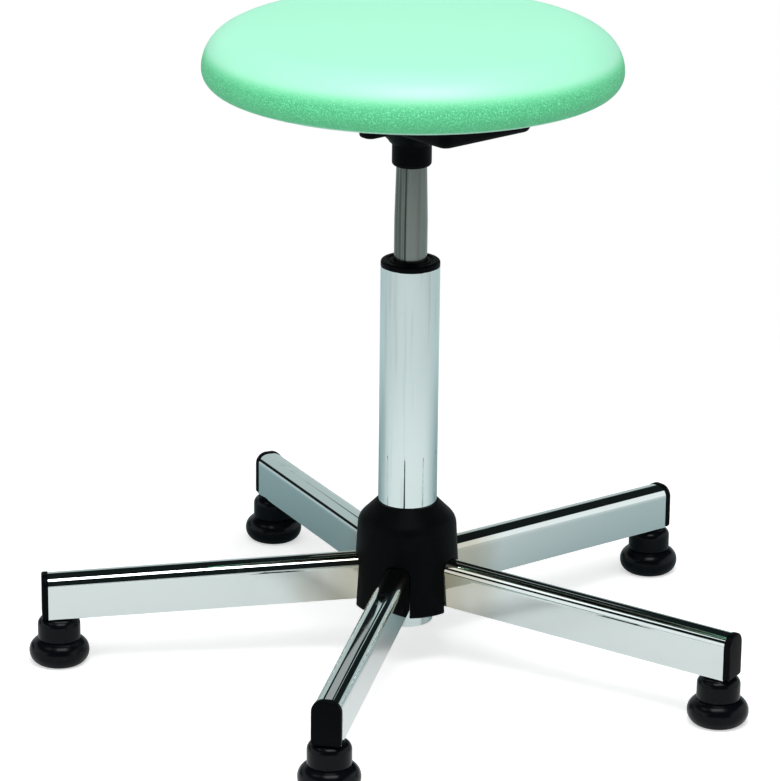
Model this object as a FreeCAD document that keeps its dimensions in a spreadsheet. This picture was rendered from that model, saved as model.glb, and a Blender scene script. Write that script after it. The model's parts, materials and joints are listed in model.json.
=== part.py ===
import FreeCAD, Part
import math
import os
import re
from enum import IntEnum

import Sketcher
from FreeCAD import Placement, Rotation, Vector

# Medical stool: a round moulded seat on a gas-lift column, over five tube arms on plug-in glides.
# The origin is on the floor at the column's axis, +Z is up and the first arm points along -Y.
# The seat stands part of the way up its travel, as it does in use.

# Driving dimensions, in millimetres and degrees
SIZES = {
    # Base
    "arm_count": 5,
    "foot_circle_radius": 297.0,
    "arm_width": 23.5,
    "arm_height": 38.0,
    "arm_wall": 1.8,
    "arm_top_round": 11.0,
    "arm_slope": 2.65,
    "arm_overhang": 9.0,
    "cap_thickness": 5.4,
    "cap_margin": 0.7,
    "cap_round": 1.8,
    "cap_foot_round": 3.0,
    "cap_tongue": 12.0,
    "cap_tongue_side": 2.0,
    # Plug-in glides
    "glide_height": 40.6,
    "glide_gap": 0.9,
    "glide_radius": 25.6,
    "glide_wide_height": 10.5,
    "glide_sole_radius": 19.5,
    "glide_sole_round": 11.5,
    "glide_shoulder_height": 21.2,
    "glide_shoulder_round": 11.0,
    "glide_neck_radius": 18.15,
    "glide_neck_round": 5.1,
    "glide_neck_step": 0.9,
    "stem_radius": 5.5,
    "stem_socket_depth": 28.0,
    "stem_in_arm": 20.0,
    "stem_groove_depth": 0.8,
    "stem_groove_width": 3.0,
    "bush_socket_radius": 8.5,
    "bush_socket_height": 23.0,
    # Hub
    "hub_core_radius": 30.0,
    "hub_core_drop": 4.0,
    "hub_core_rise": 22.0,
    "hub_shoulder_radius": 42.1,
    "hub_wall": 2.5,
    "hub_drop": 7.0,
    "hub_height": 91.7,
    "hub_draft": 3.1,
    "hub_lower_round": 2.0,
    "hub_shoulder_round": 14.0,
    "hub_cone_angle": 45.0,
    "hub_lip_width": 1.4,
    # Column and gas lift
    "column_foot": 30.0,
    "column_length": 316.0,
    "column_radius": 25.0,
    "column_wall": 2.0,
    "column_taper_length": 98.0,
    "column_floor_lift": 5.0,
    "column_floor_thickness": 3.0,
    "taper_angle": 1.4377,
    "bush_flange_height": 5.0,
    "bush_flange_round": 2.2,
    "bush_sleeve_length": 82.0,
    "lift_exposed": 81.4,
    "cylinder_radius": 14.0,
    "cylinder_wall": 1.5,
    "cylinder_length": 350.0,
    "cylinder_in_socket": 47.0,
    "cylinder_taper_length": 93.0,
    "cylinder_lip": 2.5,
    "cylinder_neck_radius": 9.0,
    "cylinder_neck_length": 68.0,
    "cylinder_neck_slope_length": 8.0,
    "cylinder_top_wall": 4.0,
    "seal_length": 18.0,
    "valve_block_length": 34.0,
    "valve_pin_radius": 3.0,
    "valve_pin_length": 32.0,
    "valve_hole_depth": 28.0,
    "rod_radius": 5.0,
    "rod_end_radius": 4.0,
    "rod_end_lift": 1.0,
    "rod_length": 189.0,
    "rod_tip_radius": 3.5,
    "piston_length": 10.0,
    "race_thickness": 2.0,
    "race_outer_radius": 16.0,
    "ball_radius": 2.5,
    "ball_circle_radius": 11.0,
    "ball_count": 8,
    "cage_thickness": 2.0,
    "cage_inner_radius": 7.5,
    "cage_outer_radius": 15.0,
    "buffer_height": 5.4,
    "buffer_radius": 11.0,
    "buffer_round": 1.5,
    "clip_thickness": 1.4,
    "clip_outer_radius": 7.5,
    "clip_groove_depth": 0.8,
    "clip_sweep": 300.0,
    # Seat plate and its release lever
    "plate_turn": 52.5,
    "plate_thickness": 2.5,
    "socket_radius": 16.6,
    "socket_height": 43.0,
    "socket_round": 3.2,
    "pan_width": 98.0,
    "pan_length": 192.0,
    "pan_depth": 28.5,
    "pan_corner_round": 9.0,
    "pan_bend_round": 5.0,
    "flange_width": 20.0,
    "flange_corner_round": 12.0,
    "neck_drop": 21.3,
    "neck_top_radius": 41.0,
    "neck_lip": 1.5,
    "neck_edge": 0.8,
    "screw_radius": 3.0,
    "screw_head_radius": 6.0,
    "screw_head_height": 4.0,
    "lever_rise": 17.5,
    "lever_rod_radius": 3.5,
    "lever_finger": 20.0,
    "lever_finger_past": 4.5,
    "lever_side_offset": 64.0,
    "lever_bend_round": 10.0,
    "lever_reach": 104.0,
    "lever_slot_rise": 4.0,
    "bracket_thickness": 4.0,
    "bracket_half_width": 7.0,
    "bracket_top_round": 6.5,
    "bracket_inner_offset": 40.0,
    "bracket_spacing": 11.0,
    "grip_length": 42.0,
    "grip_width": 17.0,
    "grip_thickness": 8.0,
    "grip_corner_round": 7.0,
    "grip_edge_round": 2.5,
    "grip_end_wall": 4.0,
    # Seat
    "board_border": 10.0,
    "board_thickness": 12.0,
    "nut_barrel_radius": 4.2,
    "nut_flange_radius": 9.0,
    "nut_flange_thickness": 1.5,
    "pad_radius": 174.0,
    "pad_lower_round": 14.0,
    "pad_side_round": 32.0,
    "pad_shoulder_round": 50.0,
    "pad_shoulder_angle": 32.0,
    "pad_crown": 1.5,
    # Clearances
    "running_gap": 0.1,
    "fit_gap": 0.05,
    "bed_gap": 0.3,
    "finger_gap": 0.3,
}

LEFT = 1
RIGHT = -1
DOME = "centred on the axis"
SAME_PLACE = 1e-4


class SketchAxis(IntEnum):
    """The numbers by which a sketch knows its own two axes, whose start is its origin."""
    HORIZONTAL = -1
    VERTICAL = -2


doc = FreeCAD.newDocument("MedicalStool")
sheet = doc.addObject("Spreadsheet::Sheet", "Sizes")
for row, (size_name, size_value) in enumerate(SIZES.items(), start=1):
    sheet.set(f"A{row}", size_name)
    sheet.set(f"B{row}", str(size_value))
    sheet.setAlias(f"B{row}", size_name)
doc.recompute()

nodes = []


def in_cells(formula):
    """Writes each size name in a formula as the sheet's cell of that name."""
    def cell(word):
        return f"Sizes.{word.group()}" if word.group() in SIZES else word.group()
    return re.sub(r"[a-z_][a-z_0-9]*", cell, formula)


def value(formula):
    """The number that a formula of sizes comes to."""
    return float(sheet.evalExpression(in_cells(formula)))


def bind(item, prop, formula):
    """Ties a property to a formula of sizes."""
    item.setExpression(prop, in_cells(formula))


# Sketches

def fix_point(sketch, edge, end, x, y):
    """Ties one end of an edge to its place, measured from the sketch's origin."""
    across = ("DistanceX", SketchAxis.VERTICAL, x)
    along = ("DistanceY", SketchAxis.HORIZONTAL, y)
    for kind, axis, formula in (across, along):
        if formula == "0":
            sketch.addConstraint(Sketcher.Constraint("PointOnObject", edge, end, axis))
            continue
        rule = Sketcher.Constraint(kind, SketchAxis.HORIZONTAL, 1, edge, end, value(formula))
        index = sketch.addConstraint(rule)
        bind(sketch, f"Constraints[{index}]", formula)


def fix_radius(sketch, edge, radius):
    """Ties an arc's or a circle's radius to a formula."""
    index = sketch.addConstraint(Sketcher.Constraint("Radius", edge, value(radius)))
    bind(sketch, f"Constraints[{index}]", radius)


def arc_between(start, end, radius, turn):
    """The shorter arc of a radius from start to end, turning left or right on the way."""
    chord = end - start
    side = Vector(-chord.y, chord.x, 0).normalize() * turn
    rise = math.sqrt(max(radius ** 2 - (chord.Length / 2) ** 2, 0))
    circle = Part.Circle((start + end) * 0.5 + side * rise, Vector(0, 0, 1), radius)
    first, last = (start, end) if turn == LEFT else (end, start)
    return Part.ArcOfCircle(circle, circle.parameter(first), circle.parameter(last))


def dome_radius(rim, top):
    """The radius of the arc from a rim to a top on the axis, when its centre is on the axis too."""
    rise = top.y - rim.y
    return (rim.x ** 2 + rise ** 2) / (2 * rise)


def add_outline(sketch, points, closed=True):
    """Adds lines and arcs through points; a point with a radius and a turn is reached by an arc."""
    places = [Vector(value(point[0]), value(point[1]), 0) for point in points]
    count = len(points) if closed else len(points) - 1
    edges = []
    for index in range(count):
        after = (index + 1) % len(points)
        start, end = places[index], places[after]
        if len(points[after]) == 2:
            edges.append((sketch.addGeometry(Part.LineSegment(start, end)), 1, 2))
            continue
        radius, turn = points[after][2:]
        size = dome_radius(start, end) if radius == DOME else value(radius)
        edge = sketch.addGeometry(arc_between(start, end, size, turn))
        edges.append((edge, 1, 2) if turn == LEFT else (edge, 2, 1))
    for index in range(count if closed else count - 1):
        here, there = edges[index], edges[(index + 1) % count]
        sketch.addConstraint(Sketcher.Constraint("Coincident", here[0], here[2], there[0], there[1]))
    for index in range(count):
        fix_point(sketch, edges[index][0], edges[index][1], *points[index][:2])
    if not closed:
        fix_point(sketch, edges[-1][0], edges[-1][2], *points[-1][:2])
    for index in range(count):
        after = points[(index + 1) % len(points)]
        if len(after) > 2 and after[2] == DOME:
            rule = Sketcher.Constraint("PointOnObject", edges[index][0], 3, SketchAxis.VERTICAL)
            sketch.addConstraint(rule)
        elif len(after) > 2:
            fix_radius(sketch, edges[index][0], after[2])


def add_circle(sketch, x, y, radius):
    """Adds a circle, with its centre and radius tied to formulas."""
    circle = Part.Circle(Vector(value(x), value(y), 0), Vector(0, 0, 1), value(radius))
    edge = sketch.addGeometry(circle)
    fix_point(sketch, edge, 3, x, y)
    fix_radius(sketch, edge, radius)


def draw(body, name, plane, outlines=(), circles=(), height="0", closed=True):
    """A sketch on one of the body's own planes, moved along the plane's normal by a height."""
    sketch = body.newObject("Sketcher::SketchObject", name)
    support = next(item for item in body.Origin.OriginFeatures if item.Role == plane)
    sketch.AttachmentSupport = [(support, "")]
    sketch.MapMode = "FlatFace"
    bind(sketch, "AttachmentOffset.Base.z", height)
    for outline in outlines:
        add_outline(sketch, outline, closed)
    for circle in circles:
        add_circle(sketch, *circle)
    return sketch


# Features

def new_body(label, turn="0"):
    """An empty sub-part, turned about the column's axis, whose label names its file."""
    body = doc.addObject("PartDesign::Body", label)
    body.Label = label
    body.AllowCompound = True
    body.Placement = Placement(Vector(), Rotation(Vector(0, 0, 1), value(turn)))
    if turn != "0":
        bind(body, "Placement.Rotation.Angle", turn)
    nodes.append(body)
    return body


def pad(body, sketch, length, name, direction=None, toward=1):
    """Pads a sketch along its normal, or along a sloping direction with that normal length."""
    feature = body.newObject("PartDesign::Pad", name)
    feature.Profile = sketch
    bind(feature, "Length", length)
    feature.Reversed = toward < 0
    if direction:
        feature.UseCustomVector = True
        feature.AlongSketchNormal = True
        for axis, formula in zip("xyz", direction):
            bind(feature, f"Direction.{axis}", formula)
    doc.recompute()
    return feature


def revolve(body, outline, name, sweep="360"):
    """Revolves an outline of radii and heights about the body's Z axis."""
    sketch = draw(body, f"{name}_profile", "XZ_Plane", [outline])
    feature = body.newObject("PartDesign::Revolution", name)
    feature.Profile = sketch
    feature.ReferenceAxis = (sketch, ["V_Axis"])
    bind(feature, "Angle", sweep)
    doc.recompute()
    return feature


def cut(body, kind, sketch, name, length=None, upward=False):
    """Cuts a sketch out of the body, along the sketch's normal or about its axis, and proves it cut."""
    before = body.Shape.Volume
    feature = body.newObject(kind, name)
    feature.Profile = sketch
    if kind == "PartDesign::Groove":
        feature.ReferenceAxis = (sketch, ["V_Axis"])
        feature.Angle = 360
    elif length:
        bind(feature, "Length", length)
        feature.Reversed = upward
    doc.recompute()
    if body.Shape.Volume >= before:
        raise ValueError(f"{body.Label}: {name} cut nothing")
    return feature


def around(body, feature, count, name):
    """Repeats a feature about the body's Z axis."""
    pattern = body.newObject("PartDesign::PolarPattern", name)
    pattern.Originals = [feature]
    axis = next(item for item in body.Origin.OriginFeatures if item.Role == "Z_Axis")
    pattern.Axis = (axis, [""])
    pattern.Angle = 360
    bind(pattern, "Occurrences", count)
    body.Tip = pattern
    doc.recompute()
    return pattern


def round_edges(body, feature, test, radius, name):
    """Rounds the edges of a feature that pass a test."""
    edges = [f"Edge{index}" for index, edge in enumerate(feature.Shape.Edges, start=1) if test(edge)]
    fillet = body.newObject("PartDesign::Fillet", name)
    fillet.Base = (feature, edges)
    bind(fillet, "Radius", radius)
    doc.recompute()
    return fillet


def lies_at(axis, formula):
    """A test for edges that lie wholly in the plane where an axis has a value."""
    place = value(formula)
    low, high = f"{axis}Min", f"{axis}Max"

    def test(edge):
        box = edge.BoundBox
        return abs(getattr(box, low) - place) < SAME_PLACE and abs(getattr(box, high) - place) < SAME_PLACE
    return test


# Outlines

def tombstone(width, bottom, top, round_radius, centre="0"):
    """An upright outline with a flat foot and two rounded top corners."""
    left = f"{centre} - ({width}) / 2"
    right = f"{centre} + ({width}) / 2"
    return [
        (left, bottom),
        (right, bottom),
        (right, f"{top} - ({round_radius})"),
        (f"{right} - ({round_radius})", top, round_radius, LEFT),
        (f"{left} + ({round_radius})", top),
        (left, f"{top} - ({round_radius})", round_radius, LEFT),
    ]


def soft_tombstone(width, bottom, top, round_radius, foot_round):
    """An upright outline with rounded top corners and less rounded lower ones."""
    upright = tombstone(width, bottom, top, round_radius)
    (left, low), (right, low) = upright[:2]
    return [
        (f"{right} - {foot_round}", low),
        (right, f"{low} + {foot_round}", foot_round, LEFT),
        *upright[2:],
        (left, f"{low} + {foot_round}"),
        (f"{left} + {foot_round}", low, foot_round, LEFT),
    ]


def rounded_rectangle(width, length, corner, x="0", y="0"):
    """A rectangle with rounded corners, about a centre."""
    west, east = f"{x} - ({width}) / 2", f"{x} + ({width}) / 2"
    south, north = f"{y} - ({length}) / 2", f"{y} + ({length}) / 2"
    return [
        (f"{east} - {corner}", south),
        (east, f"{south} + {corner}", corner, LEFT),
        (east, f"{north} - {corner}"),
        (f"{east} - {corner}", north, corner, LEFT),
        (f"{west} + {corner}", north),
        (west, f"{north} - {corner}", corner, LEFT),
        (west, f"{south} + {corner}"),
        (f"{west} + {corner}", south, corner, LEFT),
    ]


def ring(inner, outer, bottom, top):
    """A plain ring's section."""
    return [(inner, bottom), (outer, bottom), (outer, top), (inner, top)]


# Heights up the column, from the floor

def arm_underside(radius):
    """The height of an arm's flat underside at a distance from the column's axis."""
    return f"(glide_height + glide_gap + (foot_circle_radius - ({radius})) * tan(arm_slope))"


def column_cone(height):
    """The radius of the column's tapered lower end at a height."""
    return f"(column_radius - ({TAPER_TOP} - ({height})) * tan(taper_angle))"


def cylinder_cone(height):
    """The radius of the gas cylinder's tapered upper end at a height."""
    return f"(cylinder_radius - (({height}) - {CYLINDER_TAPER}) * tan(taper_angle))"


ARM_END = "(foot_circle_radius + arm_overhang)"
ARM_START = "(hub_core_radius / 2)"
SLOPE_OUT = ("1", "0", "-tan(arm_slope)")
SLOPE_IN = ("-1", "0", "tan(arm_slope)")
CORE_BOTTOM = f"({arm_underside('hub_core_radius')} - hub_core_drop)"
CORE_TOP = f"({arm_underside('hub_core_radius')} + arm_height + hub_core_rise)"
HUB_BOTTOM = f"({arm_underside('hub_shoulder_radius')} - hub_drop)"
HUB_TOP = f"({HUB_BOTTOM} + hub_height)"
SOCKET_TOP = f"({arm_underside('foot_circle_radius')} + bush_socket_height)"
TAPER_TOP = "(column_foot + column_taper_length)"
COLUMN_TOP = "(column_foot + column_length)"
FLOOR_BOTTOM = "(column_foot + column_floor_lift)"
FLOOR_TOP = f"({FLOOR_BOTTOM} + column_floor_thickness)"
BALL_BOTTOM = f"({FLOOR_TOP} + race_thickness)"
BALL_TOP = f"({BALL_BOTTOM} + 2 * ball_radius + 2 * fit_gap)"
BEARING_TOP = f"({BALL_TOP} + race_thickness)"
ROD_BOTTOM = "(column_foot + rod_end_lift)"
ROD_TOP = f"({ROD_BOTTOM} + rod_length)"
CLIP_TOP = f"({FLOOR_BOTTOM} - bed_gap)"
CLIP_BOTTOM = f"({CLIP_TOP} - clip_thickness)"
BUSH_TOP = f"({COLUMN_TOP} + bush_flange_height)"
COLLAR_BOTTOM = f"({BUSH_TOP} + lift_exposed)"
PAN_INSIDE = f"({COLLAR_BOTTOM} + socket_height)"
PAN_BOTTOM = f"({PAN_INSIDE} - plate_thickness)"
SEAT_BOTTOM = f"({PAN_BOTTOM} + pan_depth)"
BOARD_TOP = f"({SEAT_BOTTOM} + board_thickness)"
PAD_FOOT = "(pad_radius - pad_lower_round)"
BOARD_RADIUS = f"({PAD_FOOT} - board_border)"
CYLINDER_TOP = f"({COLLAR_BOTTOM} + cylinder_in_socket)"
CYLINDER_BOTTOM = f"({CYLINDER_TOP} - cylinder_length)"
CYLINDER_TAPER = f"({CYLINDER_TOP} - cylinder_taper_length)"
CYLINDER_BORE = "(cylinder_radius - cylinder_wall)"
VALVE_TOP = f"({CYLINDER_TOP} - cylinder_top_wall)"
NECK_BOTTOM = f"({CYLINDER_TOP} - cylinder_neck_length)"
LEVER_HEIGHT = f"({PAN_BOTTOM} + lever_rise)"
PIN_TOP = f"({LEVER_HEIGHT} - lever_rod_radius - finger_gap)"

# The holes at the four corners of the seat plate's flange
SCREW_PLACES = [
    (f"{side} * (pan_width + flange_width) / 2", f"{end} * (pan_length + flange_width) / 2")
    for side in (-1, 1)
    for end in (-1, 1)
]


def at_screws(radius):
    """A circle of one radius at each of the plate's screws."""
    return [(x, y, radius) for x, y in SCREW_PLACES]


# Base: hub, arms, caps and glides

def make_hub_core():
    """The steel sleeve that takes the column's taper and carries the arms."""
    body = new_body("hub_core")
    revolve(body, [
        (f"{column_cone(CORE_BOTTOM)} + fit_gap", CORE_BOTTOM),
        ("hub_core_radius", CORE_BOTTOM),
        ("hub_core_radius", CORE_TOP),
        (f"{column_cone(CORE_TOP)} + fit_gap", CORE_TOP),
    ], "core_sleeve")


def make_hub_cover():
    """The moulded cover over the hub: drafted walls, a coned shoulder and a slot for each arm, open below."""
    body = new_body("hub_cover", "-90")
    mouth = "(column_radius + running_gap)"
    lip = f"({mouth} + hub_lip_width)"
    bend_radius = "(hub_shoulder_radius - hub_shoulder_round * cos(hub_draft))"
    cone_width = f"({bend_radius} + hub_shoulder_round * sin(hub_cone_angle) - {lip})"
    cone_foot = f"({HUB_TOP} - {cone_width} * tan(hub_cone_angle))"
    bend_height = f"({cone_foot} - hub_shoulder_round * cos(hub_cone_angle))"
    wall_top = f"({bend_height} + hub_shoulder_round * sin(hub_draft))"
    wall_foot = f"({HUB_BOTTOM} + hub_lower_round)"

    def wall_radius(height, inset="0"):
        """The radius of the drafted wall at a height, less an inset through the wall."""
        spread = f"({wall_top} - {height}) * tan(hub_draft)"
        return f"(hub_shoulder_radius + {spread} - {inset} / cos(hub_draft))"

    def on_bend(out, up, inset="0"):
        """The point of the shoulder's bend that faces one way, less an inset through the wall."""
        reach = f"(hub_shoulder_round - {inset})"
        return f"{bend_radius} + {reach} * {out}", f"({bend_height} + {reach} * {up})"

    level = ("cos(hub_draft)", "sin(hub_draft)")
    sloping = ("sin(hub_cone_angle)", "cos(hub_cone_angle)")
    inner_cone = on_bend(*sloping, "hub_wall")
    revolve(body, [
        (wall_radius(HUB_BOTTOM, "hub_wall"), HUB_BOTTOM),
        (f"{wall_radius(wall_foot)} - hub_lower_round", HUB_BOTTOM),
        (wall_radius(wall_foot), wall_foot, "hub_lower_round", LEFT),
        on_bend(*level),
        (*on_bend(*sloping), "hub_shoulder_round", LEFT),
        (lip, HUB_TOP),
        (mouth, HUB_TOP),
        (mouth, f"{inner_cone[1]} + ({inner_cone[0]} - {mouth}) * tan(hub_cone_angle)"),
        inner_cone,
        (*on_bend(*level, "hub_wall"), "hub_shoulder_round - hub_wall", RIGHT),
    ], "cover_shell")
    slot = draw(body, "arm_slot_outline", "YZ_Plane", [tombstone(
        "arm_width + 2 * bed_gap",
        f"{HUB_BOTTOM} - hub_wall",
        f"({arm_underside('hub_shoulder_radius - hub_wall')} + arm_height + bed_gap)",
        "arm_top_round + bed_gap",
    )], height=f"{wall_radius(HUB_BOTTOM)} + hub_wall")
    slot_cut = cut(body, "PartDesign::Pocket", slot, "arm_slot", "5 * hub_wall")
    around(body, slot_cut, "arm_count", "arm_slots")


def make_arm(number, turn):
    """One sloping tube, coped to the hub's core, with a hole below for its glide's socket."""
    body = new_body(f"arm_{number}", turn)
    bottom = arm_underside(ARM_START)
    top = f"({bottom} + arm_height)"
    section = draw(body, f"arm_section_{number}", "YZ_Plane", [
        tombstone("arm_width", bottom, top, "arm_top_round"),
        tombstone("arm_width - 2 * arm_wall", f"({bottom} + arm_wall)", f"({top} - arm_wall)",
                  "arm_top_round - arm_wall"),
    ], height=ARM_START)
    pad(body, section, f"{ARM_END} - {ARM_START}", f"arm_tube_{number}", SLOPE_OUT)
    cope = draw(body, f"cope_outline_{number}", "XY_Plane", circles=[("0", "0", "hub_core_radius + fit_gap")])
    cut(body, "PartDesign::Pocket", cope, f"cope_{number}", f"{top} + arm_height", upward=True)
    hole = draw(body, f"socket_hole_outline_{number}", "XY_Plane",
                circles=[("foot_circle_radius", "0", "bush_socket_radius + fit_gap")])
    middle = f"{arm_underside('foot_circle_radius')} + arm_height / 2"
    cut(body, "PartDesign::Pocket", hole, f"socket_hole_{number}", middle, upward=True)


def make_arm_cap(number, turn):
    """The moulded plug that closes an arm's end, a little proud of the tube."""
    body = new_body(f"arm_cap_{number}", turn)
    bottom = arm_underside(ARM_END)
    top = f"({bottom} + arm_height)"
    face = draw(body, f"cap_outline_{number}", "YZ_Plane", [soft_tombstone(
        "arm_width + 2 * cap_margin", bottom, f"({top} + cap_margin)", "arm_top_round + cap_margin",
        "cap_foot_round",
    )], height=ARM_END)
    plate = pad(body, face, "cap_thickness", f"cap_plate_{number}")
    front = lies_at("X", f"{ARM_END} + cap_thickness")
    round_edges(body, plate, front, "cap_round", f"cap_edge_{number}")
    inset = "(arm_wall + fit_gap)"
    tongue = draw(body, f"tongue_outline_{number}", "YZ_Plane", [tombstone(
        f"arm_width - 2 * {inset}", f"({top} - arm_top_round - cap_tongue_side)", f"({top} - {inset})",
        f"arm_top_round - {inset}",
    )], height=ARM_END)
    pad(body, tongue, "cap_tongue", f"cap_tongue_{number}", SLOPE_IN)


def stand_on_foot(body, turn):
    """Moves a round sub-part from the column's axis to an arm's foot."""
    bind(body, "Placement.Base.x", f"foot_circle_radius * cos({turn})")
    bind(body, "Placement.Base.y", f"foot_circle_radius * sin({turn})")


def make_glide_socket(number, turn):
    """The sleeve in an arm's end that takes a glide's stem."""
    body = new_body(f"glide_socket_{number}")
    low = arm_underside("foot_circle_radius")
    roof = f"{SOCKET_TOP} - (bush_socket_radius - stem_radius) / 2"
    revolve(body, [
        ("stem_radius + running_gap", low),
        ("bush_socket_radius", low),
        ("bush_socket_radius", SOCKET_TOP),
        ("0", SOCKET_TOP),
        ("0", roof),
        ("stem_radius + running_gap", roof),
    ], f"socket_sleeve_{number}")
    stand_on_foot(body, turn)


def make_glide(number, turn):
    """The moulded foot: a domed sole below a plain round neck."""
    body = new_body(f"glide_{number}")
    socket = "(glide_height - stem_socket_depth)"
    revolve(body, [
        ("0", "0"),
        ("glide_sole_radius", "0"),
        ("glide_radius", "glide_wide_height", "glide_sole_round", LEFT),
        ("glide_neck_radius - glide_neck_step", "glide_shoulder_height", "glide_shoulder_round", LEFT),
        ("glide_neck_radius", "glide_shoulder_height + glide_neck_step"),
        ("glide_neck_radius", "glide_height - glide_neck_round"),
        ("glide_neck_radius - glide_neck_round", "glide_height", "glide_neck_round", LEFT),
        ("stem_radius + fit_gap", "glide_height"),
        ("stem_radius + fit_gap", socket),
        ("0", socket),
    ], f"foot_{number}")
    stand_on_foot(body, turn)


def make_glide_stem(number, turn):
    """The plain steel stem between a glide and its socket, grooved near its top."""
    body = new_body(f"glide_stem_{number}")
    bottom = "(glide_height - stem_socket_depth + fit_gap)"
    top = f"({arm_underside('foot_circle_radius')} + stem_in_arm)"
    groove = f"({top} - 2 * stem_groove_width)"
    revolve(body, [
        ("0", bottom),
        ("stem_radius", bottom),
        ("stem_radius", groove),
        ("stem_radius - stem_groove_depth", groove),
        ("stem_radius - stem_groove_depth", f"{groove} + stem_groove_width"),
        ("stem_radius", f"{groove} + stem_groove_width"),
        ("stem_radius", f"{top} - stem_groove_depth"),
        ("stem_radius - stem_groove_depth", top),
        ("0", top),
    ], f"stem_{number}")
    stand_on_foot(body, turn)


# Column: tube, bush, rod and thrust bearing

def make_column_tube():
    """The plated outer tube, tapered at its lower end and closed by a floor."""
    body = new_body("column_tube")
    revolve(body, [
        ("rod_end_radius + running_gap", FLOOR_BOTTOM),
        (f"{column_cone(FLOOR_BOTTOM)} - column_wall", FLOOR_BOTTOM),
        (f"{column_cone('column_foot')} - column_wall", "column_foot"),
        (column_cone("column_foot"), "column_foot"),
        ("column_radius", TAPER_TOP),
        ("column_radius", COLUMN_TOP),
        ("column_radius - column_wall", COLUMN_TOP),
        ("column_radius - column_wall", TAPER_TOP),
        (f"{column_cone(FLOOR_TOP)} - column_wall", FLOOR_TOP),
        ("rod_end_radius + running_gap", FLOOR_TOP),
    ], "tube")


def make_guide_bush():
    """The moulded sleeve that guides the gas cylinder, with a flange on top of the tube."""
    body = new_body("guide_bush")
    sleeve = "column_radius - column_wall - fit_gap"
    bore = "cylinder_radius + running_gap"
    low = f"{COLUMN_TOP} - bush_sleeve_length"
    revolve(body, [
        (bore, low),
        (sleeve, low),
        (sleeve, COLUMN_TOP),
        ("column_radius", COLUMN_TOP),
        ("column_radius", f"{BUSH_TOP} - bush_flange_round"),
        ("column_radius - bush_flange_round", BUSH_TOP, "bush_flange_round", LEFT),
        (bore, BUSH_TOP),
    ], "bush")


def make_piston_rod():
    """The rod: its thin lower end turns in the column's floor, and its tip carries the piston."""
    body = new_body("piston_rod")
    groove_radius = "rod_end_radius - clip_groove_depth"
    seat = f"({ROD_TOP} - piston_length)"
    revolve(body, [
        ("0", ROD_BOTTOM),
        ("rod_end_radius", ROD_BOTTOM),
        ("rod_end_radius", CLIP_BOTTOM),
        (groove_radius, CLIP_BOTTOM),
        (groove_radius, CLIP_TOP),
        ("rod_end_radius", CLIP_TOP),
        ("rod_end_radius", BEARING_TOP),
        ("rod_radius", BEARING_TOP),
        ("rod_radius", seat),
        ("rod_tip_radius", seat),
        ("rod_tip_radius", ROD_TOP),
        ("0", ROD_TOP),
    ], "rod")


def make_rod_pieces():
    """The rings on the rod: clip, bearing races, buffer and piston."""
    rod_bore = "rod_end_radius + running_gap"
    clip = new_body("rod_clip")
    revolve(clip, ring("rod_end_radius - clip_groove_depth + fit_gap", "clip_outer_radius",
                       CLIP_BOTTOM, CLIP_TOP), "clip", "clip_sweep")
    lower = new_body("bearing_race_lower")
    revolve(lower, ring(rod_bore, "race_outer_radius", FLOOR_TOP, BALL_BOTTOM), "lower_race")
    upper = new_body("bearing_race_upper")
    revolve(upper, ring(rod_bore, "race_outer_radius", BALL_TOP, BEARING_TOP), "upper_race")
    buffer_top = f"{BEARING_TOP} + buffer_height"
    rubber = new_body("rubber_buffer")
    revolve(rubber, [
        ("rod_radius + fit_gap", BEARING_TOP),
        ("buffer_radius", BEARING_TOP),
        ("buffer_radius", f"{buffer_top} - buffer_round"),
        ("buffer_radius - buffer_round", buffer_top, "buffer_round", LEFT),
        ("rod_radius + fit_gap", buffer_top),
    ], "buffer")
    piston = new_body("piston")
    revolve(piston, ring("rod_tip_radius + fit_gap", f"{CYLINDER_BORE} - running_gap",
                         f"{ROD_TOP} - piston_length", ROD_TOP), "piston_disc")


def make_bearing_cage():
    """The flat ring that spaces the balls of the thrust bearing."""
    body = new_body("bearing_cage")
    low = f"{BALL_BOTTOM} + ball_radius + fit_gap - cage_thickness / 2"
    face = draw(body, "cage_outline", "XY_Plane", height=low,
                circles=[("0", "0", "cage_outer_radius"), ("0", "0", "cage_inner_radius")])
    pad(body, face, "cage_thickness", "cage_ring")
    pocket = draw(body, "ball_pocket_outline", "XY_Plane", height=low,
                  circles=[("ball_circle_radius", "0", "ball_radius + running_gap")])
    first = cut(body, "PartDesign::Pocket", pocket, "ball_pocket", "cage_thickness", upward=True)
    around(body, first, "ball_count", "ball_pockets")


def make_bearing_balls():
    """The ring of balls between the two races, one solid each."""
    balls = []
    for index in range(int(value("ball_count"))):
        ball = doc.addObject("Part::Sphere", f"ball_{index + 1}")
        bind(ball, "Radius", "ball_radius")
        angle = f"{index} * 360 / ball_count"
        bind(ball, "Placement.Base.x", f"ball_circle_radius * cos({angle})")
        bind(ball, "Placement.Base.y", f"ball_circle_radius * sin({angle})")
        bind(ball, "Placement.Base.z", f"{BALL_BOTTOM} + ball_radius + fit_gap")
        balls.append(ball)
    group = doc.addObject("Part::Compound", "bearing_balls")
    group.Label = "bearing_balls"
    group.Links = balls
    nodes.append(group)


# Gas cylinder, valve and the socket in the seat plate

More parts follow.
